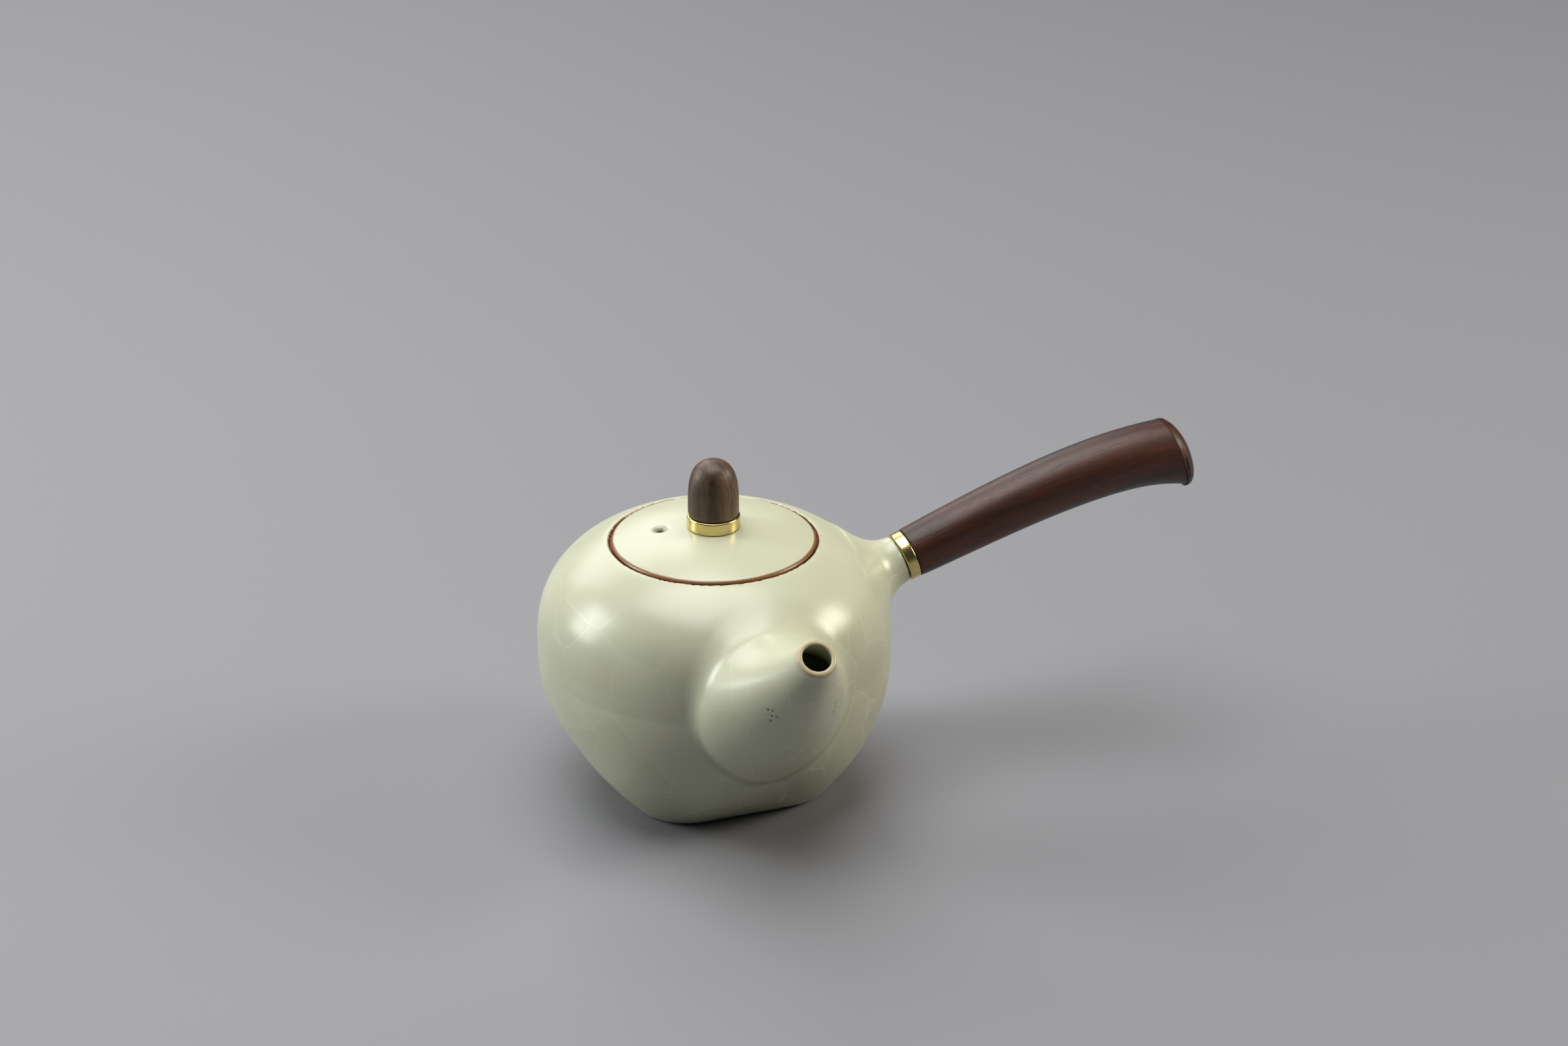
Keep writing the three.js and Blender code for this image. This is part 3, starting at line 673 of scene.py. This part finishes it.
    # the seat and the lid's underside that rests on it stay unglazed
    under = add(tree, "ShaderNodeMath", {0: part.outputs[2], 1: rim_height}, operation="LESS_THAN")
    over = add(tree, "ShaderNodeMath", {
        0: part.outputs[2], 1: (size.seat_height - 0.6) * MM}, operation="GREATER_THAN")
    within = add(tree, "ShaderNodeMath", {
        0: radius.outputs["Value"], 1: (size.lid_diameter / 2 + 0.5) * MM}, operation="LESS_THAN")
    seat = add(tree, "ShaderNodeMath", {0: under, 1: over},
               operation="MULTIPLY")
    seat = add(tree, "ShaderNodeMath", {0: seat, 1: within},
               operation="MULTIPLY")
    seat = add(tree, "ShaderNodeMath", {0: seat, 1: rim},
               operation="MAXIMUM")
    with_seat = add(tree, "ShaderNodeMix", {
        "Factor": seat, 6: lined.outputs[2], 7: tone.glaze_thin}, data_type="RGBA")
    vent_axis = add(tree, "ShaderNodeVectorMath", {
        0: across, 1: (VENT_PLACE[0] * MM, VENT_PLACE[1] * MM, 0.0)},
        operation="DISTANCE")
    pooled = add(tree, "ShaderNodeMapRange", {
        "Value": vent_axis.outputs["Value"], "From Min": 1.0 * MM, "From Max": 2.3 * MM,
        "To Min": 0.7, "To Max": 0.0}, interpolation_type="SMOOTHSTEP")
    above_lid = add(tree, "ShaderNodeMath", {0: part.outputs[2], 1: rim_height},
                    operation="GREATER_THAN")
    pooled = add(tree, "ShaderNodeMath", {0: pooled, 1: above_lid},
                 operation="MULTIPLY")
    with_rim = add(tree, "ShaderNodeMix", {
        "Factor": pooled, 6: with_seat.outputs[2], 7: linear("#93946f")},
        data_type="RGBA")
    # the spout's lip, a little tan for the same reason
    tip_y, tip_z = spout_tip_place(size)
    axis = (0.0, -math.cos(TIP_ANGLE), math.sin(TIP_ANGLE))
    past = add(tree, "ShaderNodeVectorMath", {0: place, 1: axis}, operation="DOT_PRODUCT")
    tip_share = (axis[1] * tip_y + axis[2] * tip_z) * MM
    lip = add(tree, "ShaderNodeMapRange", {
        "Value": past.outputs["Value"], "From Min": tip_share - 1.5 * MM,
        "From Max": tip_share - 0.5 * MM}, interpolation_type="SMOOTHSTEP")
    lip = add(tree, "ShaderNodeMath", {0: lip, 1: 0.65}, operation="MULTIPLY")
    front = add(tree, "ShaderNodeMath", {0: part.outputs[1], 1: -0.06}, operation="LESS_THAN")
    lip = add(tree, "ShaderNodeMath", {0: lip, 1: front},
              operation="MULTIPLY")
    with_lip = add(tree, "ShaderNodeMix", {
        "Factor": lip, 6: with_rim.outputs[2], 7: tone.lip}, data_type="RGBA")
    # the underside is wiped bare before firing
    bare = add(tree, "ShaderNodeMapRange", {
        "Value": part.outputs[2], "From Min": 0.25 * MM, "From Max": 0.6 * MM,
        "To Min": 1.0, "To Max": 0.0})
    grit = add(tree, "ShaderNodeTexNoise", {"Vector": place, "Scale": 2500.0, "Detail": 3.0})
    finish = add(tree, "ShaderNodeMix", {
        "Factor": bare, 6: with_lip.outputs[2], 7: tone.clay}, data_type="RGBA")
    rough = add(tree, "ShaderNodeMapRange", {
        "Value": bare, "To Min": 0.29, "To Max": 0.85})
    height = add(tree, "ShaderNodeMath", {0: grit.outputs["Fac"], 1: bare},
                 operation="MULTIPLY")
    # orange peel, waves of about 8 mm and very shallow
    peel = add(tree, "ShaderNodeTexNoise", {"Vector": place, "Scale": 120.0, "Detail": 1.0})
    height = add(tree, "ShaderNodeMath", {0: peel.outputs["Fac"], 1: height},
                 operation="ADD")
    bump = add(tree, "ShaderNodeBump", {
        "Height": height, "Strength": 0.12, "Distance": 0.4 * MM})
    # painted shade in the crease under the spout, with a little pooled glaze; the crease's place
    # comes with the mesh
    crease_shade = add(tree, "ShaderNodeAttribute", attribute_name="crease_shade")
    crease_shade = add(tree, "ShaderNodeMath", {0: crease_shade.outputs["Fac"], 1: 0.55},
                 operation="MULTIPLY")
    finish = add(tree, "ShaderNodeMix", {
        "Factor": crease_shade, 6: finish.outputs[2], 7: linear("#6f7056")},
        data_type="RGBA")
    feed(tree, shader, {
        "Base Color": finish.outputs[2], "Roughness": rough,
        "Normal": bump, "IOR": 1.52, "Subsurface Weight": 0.08,
        "Subsurface Radius": (0.9, 1.0, 0.7), "Subsurface Scale": 1.2 * MM})
    return material


def oiled_rosewood(name, turn, light, dark, coat):
    """Rosewood turned, sanded and oiled: streaked red-brown and near black, with a soft sheen.
    The grain runs along the piece's own axis, which is turned from Z by the given angle."""
    material, tree, shader = new_material(name)
    if tree is None:
        return material
    place = add(tree, "ShaderNodeTexCoord").outputs["Object"]
    turned = add(tree, "ShaderNodeMapping", {"Vector": place, "Rotation": (0, -turn, 0)},
                 vector_type="POINT")
    # growth rings about 3 mm apart, drawn out 17 times along the grain
    along = add(tree, "ShaderNodeMapping", {
        "Vector": turned, "Scale": (1.0, 1.0, 0.06)}, vector_type="POINT")
    rings = add(tree, "ShaderNodeTexNoise", {
        "Vector": along, "Scale": 330.0, "Detail": 4.0, "Roughness": 0.6,
        "Distortion": 0.4})
    streak = add(tree, "ShaderNodeTexNoise", {
        "Vector": along, "Scale": 110.0, "Detail": 2.0})
    mixed = add(tree, "ShaderNodeMath", {0: rings.outputs["Fac"], 1: streak.outputs["Fac"]},
                operation="ADD")
    ramp = add(tree, "ShaderNodeMapRange", {
        "Value": mixed, "From Min": 0.8, "From Max": 1.22})
    # open pores, short dark dashes about 0.4 mm apart and 4 mm long
    fine = add(tree, "ShaderNodeMapping", {
        "Vector": turned, "Scale": (1.0, 1.0, 0.09)}, vector_type="POINT")
    pores = add(tree, "ShaderNodeTexNoise", {
        "Vector": fine, "Scale": 2600.0, "Detail": 1.0})
    pore = add(tree, "ShaderNodeMapRange", {
        "Value": pores.outputs["Fac"], "From Min": 0.56, "From Max": 0.68})
    wood = add(tree, "ShaderNodeMix", {
        "Factor": ramp, 6: dark, 7: light}, data_type="RGBA")
    pored = add(tree, "ShaderNodeMath", {0: pore, 1: 0.55}, operation="MULTIPLY")
    finish = add(tree, "ShaderNodeMix", {
        "Factor": pored, 6: wood.outputs[2], 7: linear("#160a06")},
        data_type="RGBA")
    rough = add(tree, "ShaderNodeMapRange", {
        "Value": pores.outputs["Fac"], "To Min": 0.36, "To Max": 0.58})
    bump = add(tree, "ShaderNodeBump", {
        "Height": pore, "Strength": 0.25, "Distance": 0.06 * MM}, invert=True)
    feed(tree, shader, {
        "Base Color": finish.outputs[2], "Roughness": rough,
        "Normal": bump, "IOR": 1.5, "Coat Weight": coat, "Coat Roughness": 0.35})
    return material


def polished_metal(name, base, rough_low, rough_high):
    """Turned and polished metal: bright, with hairlines left by the cloth."""
    material, tree, shader = new_material(name)
    if tree is None:
        return material
    place = add(tree, "ShaderNodeTexCoord").outputs["Object"]
    hair = add(tree, "ShaderNodeMapping", {"Vector": place, "Scale": (0.2, 0.2, 4.0)},
               vector_type="POINT")
    lines = add(tree, "ShaderNodeTexNoise", {
        "Vector": hair, "Scale": 2500.0, "Detail": 2.0})
    cloud = add(tree, "ShaderNodeTexNoise", {"Vector": place, "Scale": 300.0, "Detail": 3.0})
    tint = add(tree, "ShaderNodeMix", {
        "Factor": cloud.outputs["Fac"], 6: base, 7: tuple(c * 0.86 for c in base[:3]) + (1,)},
        data_type="RGBA")
    rough = add(tree, "ShaderNodeMapRange", {
        "Value": lines.outputs["Fac"], "From Min": 0.3, "From Max": 0.7,
        "To Min": rough_low, "To Max": rough_high})
    bump = add(tree, "ShaderNodeBump", {
        "Height": lines.outputs["Fac"], "Strength": 0.03, "Distance": 0.01 * MM})
    feed(tree, shader, {
        "Base Color": tint.outputs[2], "Roughness": rough,
        "Normal": bump, "Metallic": 1.0})
    return material


def matt_solid(name, base, grain, rough):
    """A matt solid with a fine grain: fired clay without glaze, or moulded silicone."""
    material, tree, shader = new_material(name)
    if tree is None:
        return material
    place = add(tree, "ShaderNodeTexCoord").outputs["Object"]
    specks = add(tree, "ShaderNodeTexNoise", {
        "Vector": place, "Scale": 1 / (grain * MM), "Detail": 3.0})
    tint = add(tree, "ShaderNodeMix", {
        "Factor": specks.outputs["Fac"], 6: base, 7: tuple(c * 0.8 for c in base[:3]) + (1,)},
        data_type="RGBA")
    bump = add(tree, "ShaderNodeBump", {
        "Height": specks.outputs["Fac"], "Strength": 0.3, "Distance": 0.05 * MM})
    feed(tree, shader, {
        "Base Color": tint.outputs[2], "Normal": bump, "Roughness": rough})
    return material


def brass_finish():
    return polished_metal("polished_brass", tuple(colours().brass), 0.22, 0.3)


def finish_piece(piece, material, body, nodes):
    piece.data.materials.append(material)
    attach(piece, body)
    if nodes:
        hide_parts(*nodes)


# Operators


class TeapotOperator:
    bl_options = {"REGISTER", "UNDO"}

    def execute(self, context):
        self.make(sizes())
        return {"FINISHED"}


class TEAPOT_OT_pot(TeapotOperator, bpy.types.Operator):
    """Makes the pot: body, spout and handle socket in one fired and glazed piece"""

    bl_idname = "teapot.pot"
    bl_label = "Pot"

    def make(self, size):
        axes = (
            graded(-47.3, 55.0, 0.95, [(-6.6, 6.6)], 0.5),
            graded(-78.6, 47.3, 0.95, [(-78.6, -65.0), (-44.0, -37.5)], 0.45),
            graded(-1.1, 72.6, 0.95, [(14.0, 30.0), (60.5, 72.6)], 0.5),
        )
        pot = field_piece("pot", lambda x, y, z: pot_field(size, x, y, z), axes)
        places = np.empty(len(pot.data.vertices) * 3)
        pot.data.vertices.foreach_get("co", places)
        x, y, z = places.reshape(-1, 3).T / MM
        # marks the crease under the spout, where the glaze gets painted shade and a little pooled
        # glaze
        ring, off, turn = spout_field(size, x, y, z)
        apart = np.abs(body_field(size, x, y, z)) + np.abs(ring)
        low = np.clip((0.1 - turn) / 0.5, 0, 1) * (off < 3) * (y < -30)
        crease_shade = pot.data.attributes.new("crease_shade", "FLOAT", "POINT")
        crease_shade.data.foreach_set("value", np.clip(1 - apart / 0.9, 0, 1) * low)
        finish_piece(pot, celadon_glaze(), "pot", ["pot_body"])


class TEAPOT_OT_strainer(TeapotOperator, bpy.types.Operator):
    """Makes the ball strainer behind the spout"""

    bl_idname = "teapot.strainer"
    bl_label = "Strainer"

    def make(self, size):
        low, high = (np.array(corner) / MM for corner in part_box("spout_strainer"))
        axes = tuple(np.arange(low[n] - 1.3, high[n] + 1.6, 0.5) for n in range(3))
        dome = field_piece("strainer", lambda x, y, z: strainer_field(size, x, y, z), axes)
        clay = matt_solid("bare_stoneware", tuple(colours().clay), 0.5, 0.75)
        finish_piece(dome, clay, "pot", ["spout_strainer"])


class TEAPOT_OT_lid(TeapotOperator, bpy.types.Operator):
    """Makes the glazed lid with its flange and vent"""

    bl_idname = "teapot.lid"
    bl_label = "Lid"

    def make(self, size):
        low, high = (np.array(corner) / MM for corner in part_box("lid"))
        axes = tuple(np.arange(low[n] - 1.1, high[n] + 1.2, 0.5) for n in range(3))
        lid = field_piece("lid_cover", lambda x, y, z: lid_field(size, x, y, z), axes)
        finish_piece(lid, celadon_glaze(), "lid", ["lid"])


class TEAPOT_OT_knob(TeapotOperator, bpy.types.Operator):
    """Turns the rosewood knob, bored from below for its screw"""

    bl_idname = "teapot.knob"
    bl_label = "Knob"

    def make(self, size):
        low, high = (corner.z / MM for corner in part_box("knob"))
        base, tall, steps = size.knob_diameter / 2, high - low, 40
        insert_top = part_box("knob_insert")[1].z / MM + GAP
        screw_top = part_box("knob_screw")[1].z / MM + GAP
        profile = [(0, screw_top), (2.3, screw_top), (2.3, insert_top), (3.6, insert_top),
                   (3.6, low), (base - 0.5, low), (base - 0.15, low + 0.12)]
        for step in range(1, steps):
            rise = math.sin(math.pi / 2 * step / steps)
            radius = base * (1 - rise**4) ** (1 / 2.3)
            profile.append((radius, low + 0.3 + (tall - 0.3) * rise))
        profile.append((0, high))
        points, faces = turned_points(profile, 72, True)
        knob = new_piece("knob_wood", points, faces)
        tone = colours()
        wood = oiled_rosewood("oiled_rosewood_knob", 0.0, tone.knob_light, tone.knob_dark, 0.0)
        finish_piece(knob, wood, "lid", ["knob"])


class TEAPOT_OT_brass(TeapotOperator, bpy.types.Operator):
    """Turns the brass collar under the knob and the brass ferrule at the handle"""

    bl_idname = "teapot.brass"
    bl_label = "Brass fittings"

    def make(self, size):
        low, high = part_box("knob_collar")
        radius = (high.x - low.x) / 2 / MM
        bottom, top = low.z / MM - 0.2, high.z / MM + 0.2
        profile = filleted([(2.3, bottom, 0.2), (radius, bottom, 0.45), (radius, top, 0.45),
                            (2.3, top, 0.2)])
        points, faces = turned_points(profile, 96, False)
        collar = new_piece("collar_ring", points, faces)
        finish_piece(collar, brass_finish(), "carrier", ["knob_collar"])

        radius, begin = size.ferrule_diameter / 2, 0.1
        end = size.ferrule_length + 2 * GAP - 0.1
        profile = filleted([(2.8, begin, 0.2), (radius, begin, 0.45), (radius, end, 0.45),
                            (2.8, end, 0.2)])
        points, faces = turned_points(profile, 96, False)
        ferrule = new_piece("ferrule_ring", to_handle(size, points), faces)
        finish_piece(ferrule, brass_finish(), "pot", ["handle_ferrule"])


def grip_rings(size, sides=72, steps=70):
    """Rings along the grip, in the plane of the handle: made along +Z, drooping towards +X."""
    drop, turn = GRIP_DROP, GRIP_TURN
    begin = size.ferrule_length + 2 * GAP
    reach = size.grip_length
    corners = np.array([(0, begin), (0, begin + 0.4 * reach),
                        (drop - 0.31 * reach * math.sin(turn),
                         begin + reach - 0.31 * reach * math.cos(turn)),
                        (drop, begin + reach)])

    def centre(t):
        weights = ((1 - t) ** 3, 3 * t * (1 - t) ** 2, 3 * t * t * (1 - t), t**3)
        return sum(w * corner for w, corner in zip(weights, corners))

    fine = np.linspace(0, 1, 801)
    path = np.array([centre(t) for t in fine])
    walked = np.concatenate([[0], np.cumsum(np.linalg.norm(np.diff(path, axis=0), axis=1))])
    walked /= walked[-1]

    def ring(share, inset=0.0, setback=0.0):
        t = float(np.interp(share, walked, fine))
        here = centre(t)
        way = centre(min(t + 1e-3, 1)) - centre(max(t - 1e-3, 0))
        way /= np.linalg.norm(way)
        upward = np.array([-way[1], way[0]])
        late = max((share - 1) / 0.3 + 1, 0)
        lean = math.tan(GRIP_END_SLANT) * late**2
        radius = size.grip_root + (size.grip_end - size.grip_root) * share**0.75
        radius = radius / 2
        points = []
        for side in range(sides):
            angle = -2 * math.pi * side / sides
            low = max(-math.sin(angle), 0)
            far = (radius + 2.1 * low**2 * late**3) * (1 - inset / radius)
            flat = here + upward * math.sin(angle) * far
            flat = flat + way * (-math.sin(angle) * far * lean - setback)
            points.append((flat[0], math.cos(angle) * far, flat[1]))
        return points

    rings = [ring(0, 0.3, 0), ring(0, 0.08, -0.08), ring(0, 0, -0.3)]
    rings += [ring(step / steps) for step in range(1, steps)]
    # the end is a dome, which starts before the end of the line and stands out past it
    edge, dome, fullness = 2.2, 2.2, 2.2
    for step in range(24):
        share = math.cos(math.pi / 2 * step / 24)
        rise = (1 - share**fullness) ** (1 / fullness)
        rings.append(ring(1, size.grip_end / 2 * (1 - share), edge - (edge + dome) * rise))
    way = centre(1.0) - centre(0.999)
    crown = centre(1.0) + dome * way / np.linalg.norm(way)
    return rings, (crown[0], 0.0, crown[1]), begin


class TEAPOT_OT_grip(TeapotOperator, bpy.types.Operator):
    """Carves the rosewood grip, bored at its root for the stud"""

    bl_idname = "teapot.grip"
    bl_label = "Grip"

    def make(self, size):
        sides = 72
        rings, tail, begin = grip_rings(size, sides)
        turn = -np.arange(sides) * 2 * math.pi / sides
        bore = []
        shoulder = begin + INSERT_HOLE_DEPTH
        for radius, depth in (
                (STUD_HOLE_RADIUS, STUD_HOLE_DEPTH), (STUD_HOLE_RADIUS, shoulder),
                (SOCKET_HOLE_RADIUS, shoulder), (SOCKET_HOLE_RADIUS, begin)):
            bore.append([(-radius * math.sin(a), radius * math.cos(a), depth) for a in turn])
        rings = bore + rings
        points = np.array([point for ring in rings for point in ring])
        points = np.concatenate([points, [(0, 0, STUD_HOLE_DEPTH), tail]])
        faces = capped(len(rings), sides)
        grip = new_piece("grip_wood", to_handle(size, points), faces)
        tone = colours()
        wood = oiled_rosewood("oiled_rosewood_grip", GRIP_GRAIN_TURN, tone.wood_light,
                              tone.wood_dark, 0.1)
        finish_piece(grip, wood, "pot", ["handle_grip"])


class TEAPOT_OT_fittings(TeapotOperator, bpy.types.Operator):
    """Finishes the fittings inside the handle and the knob"""

    bl_idname = "teapot.fittings"
    bl_label = "Inner fittings"

    def make(self, size):
        steel = polished_metal("turned_steel", linear("#b9bbbd"), 0.22, 0.4)
        washer = matt_solid("moulded_silicone", linear("#ddd9cf"), 0.3, 0.55)
        finishes = {
            "socket_bush": brass_finish(), "grip_insert": brass_finish(),
            "knob_insert": brass_finish(), "handle_stud": steel, "knob_screw": steel,
            "knob_washer": washer,
        }
        for name, finish in finishes.items():
            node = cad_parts[name]
            node.data.materials.clear()
            node.data.materials.append(finish)


class TEAPOT_OT_stage(TeapotOperator, bpy.types.Operator):
    """Sets the floor, the lamps, the world and the camera"""

    bl_idname = "teapot.stage"
    bl_label = "Stage"

    def make(self, size):
        scene = bpy.context.scene
        scene.view_settings.view_transform = "Standard"
        mesh = bpy.data.meshes.new("table")
        reach = 3.0
        mesh.from_pydata([(-reach, -reach, 0), (reach, -reach, 0), (reach, reach, 0),
                          (-reach, reach, 0)], [], [(0, 1, 2, 3)])
        table = bpy.data.objects.new("table", mesh)
        scene.collection.objects.link(table)
        material, tree, shader = new_material("matt_table")
        place = add(tree, "ShaderNodeTexCoord").outputs["Object"]
        cloud = add(tree, "ShaderNodeTexNoise", {"Vector": place, "Scale": 4.0})
        tone = tuple(colours().floor)
        tint = add(tree, "ShaderNodeMix", {
            "Factor": cloud.outputs["Fac"], 6: tone,
            7: tuple(c * 0.97 for c in tone[:3]) + (1,)}, data_type="RGBA")
        feed(tree, shader, {"Base Color": tint.outputs[2], "Roughness": 0.6})
        table.data.materials.append(material)

        # soft panels: a wide one overhead, one for the far table, a tall one at the left and a
        # small one at the right, which is a little warmer
        lamps = (
            ("top_panel", (-0.05, 0.1, 1.2), (1.0, 0.9), 14.5, (1.0, 1.0, 1.0)),
            ("back_panel", (-0.2, 1.7, 1.1), (1.6, 1.0), 15.0, (1.0, 1.0, 1.0)),
            ("left_panel", (-1.1, 0.55, 0.52), (0.46, 0.75), 11.5, (0.98, 1.0, 0.97)),
            ("right_panel", (1.1, -0.3, 0.62), (0.4, 0.45), 9.2, (1.0, 0.93, 0.78)),
        )
        for name, place, (wide, tall), power, tint in lamps:
            lamp = bpy.data.lights.new(name, "AREA")
            lamp.shape = "RECTANGLE"
            lamp.size, lamp.size_y = wide, tall
            lamp.energy, lamp.color = power, tint
            holder = bpy.data.objects.new(name, lamp)
            holder.location = place
            aim = Vector(LAMP_AIM) - Vector(place)
            holder.rotation_euler = aim.to_track_quat("-Z", "Y").to_euler()
            scene.collection.objects.link(holder)

        world = bpy.data.worlds.new("soft_room")
        world.use_nodes = True
        scene.world = world
        tree = world.node_tree
        room = tree.nodes["Background"]
        feed(tree, room, {"Color": linear("#dfe1e4"), "Strength": 0.04})
        shown = add(tree, "ShaderNodeBackground", {
            "Color": linear("#b4b5b7"), "Strength": 1.0})
        path = add(tree, "ShaderNodeLightPath")
        choice = add(tree, "ShaderNodeMixShader", {
            0: path.outputs["Is Camera Ray"], 1: room, 2: shown})
        feed(tree, tree.nodes["World Output"], {"Surface": choice})

        camera = bpy.data.cameras.new("camera")
        camera.sensor_width = 36.0
        camera.lens = 107.19
        camera.clip_end = 20.0
        holder = bpy.data.objects.new("camera", camera)
        right = Vector((0.9336, -0.3584, 0.0))
        ahead = Vector((0.3249, 0.8464, -0.4219)).normalized()
        up = right.cross(ahead).normalized()
        right = ahead.cross(up)
        turned = Matrix((right, up, -ahead)).transposed().to_4x4()
        holder.matrix_world = Matrix.Translation((-0.3736, -1.0239, 0.5799)) @ turned
        scene.collection.objects.link(holder)
        scene.camera = holder


class TEAPOT_PT_panel(bpy.types.Panel):
    """Lists the teapot's pieces, sizes and colours"""

    bl_label = "Teapot"
    bl_idname = "TEAPOT_PT_panel"
    bl_space_type = "VIEW_3D"
    bl_region_type = "UI"
    bl_category = "Teapot"

    def draw(self, context):
        for operator in OPERATORS:
            self.layout.operator(operator.bl_idname)
        for group in (context.scene.teapot_sizes, context.scene.teapot_colours):
            for name in group.bl_rna.properties.keys():
                if name not in ("rna_type", "name"):
                    self.layout.prop(group, name)


OPERATORS = (
    TEAPOT_OT_pot, TEAPOT_OT_strainer, TEAPOT_OT_lid, TEAPOT_OT_knob, TEAPOT_OT_brass,
    TEAPOT_OT_grip, TEAPOT_OT_fittings, TEAPOT_OT_stage,
)
CLASSES = (TeapotSizes, TeapotColours) + OPERATORS + (TEAPOT_PT_panel,)


def register():
    for item in CLASSES:
        bpy.utils.register_class(item)
    bpy.types.Scene.teapot_sizes = PointerProperty(type=TeapotSizes)
    bpy.types.Scene.teapot_colours = PointerProperty(type=TeapotColours)


def unregister():
    del bpy.types.Scene.teapot_colours
    del bpy.types.Scene.teapot_sizes
    for item in reversed(CLASSES):
        bpy.utils.unregister_class(item)


def main():
    register()
    for operator in OPERATORS:
        group, name = operator.bl_idname.split(".")
        getattr(getattr(bpy.ops, group), name)()


if __name__ == "__main__":
    main()
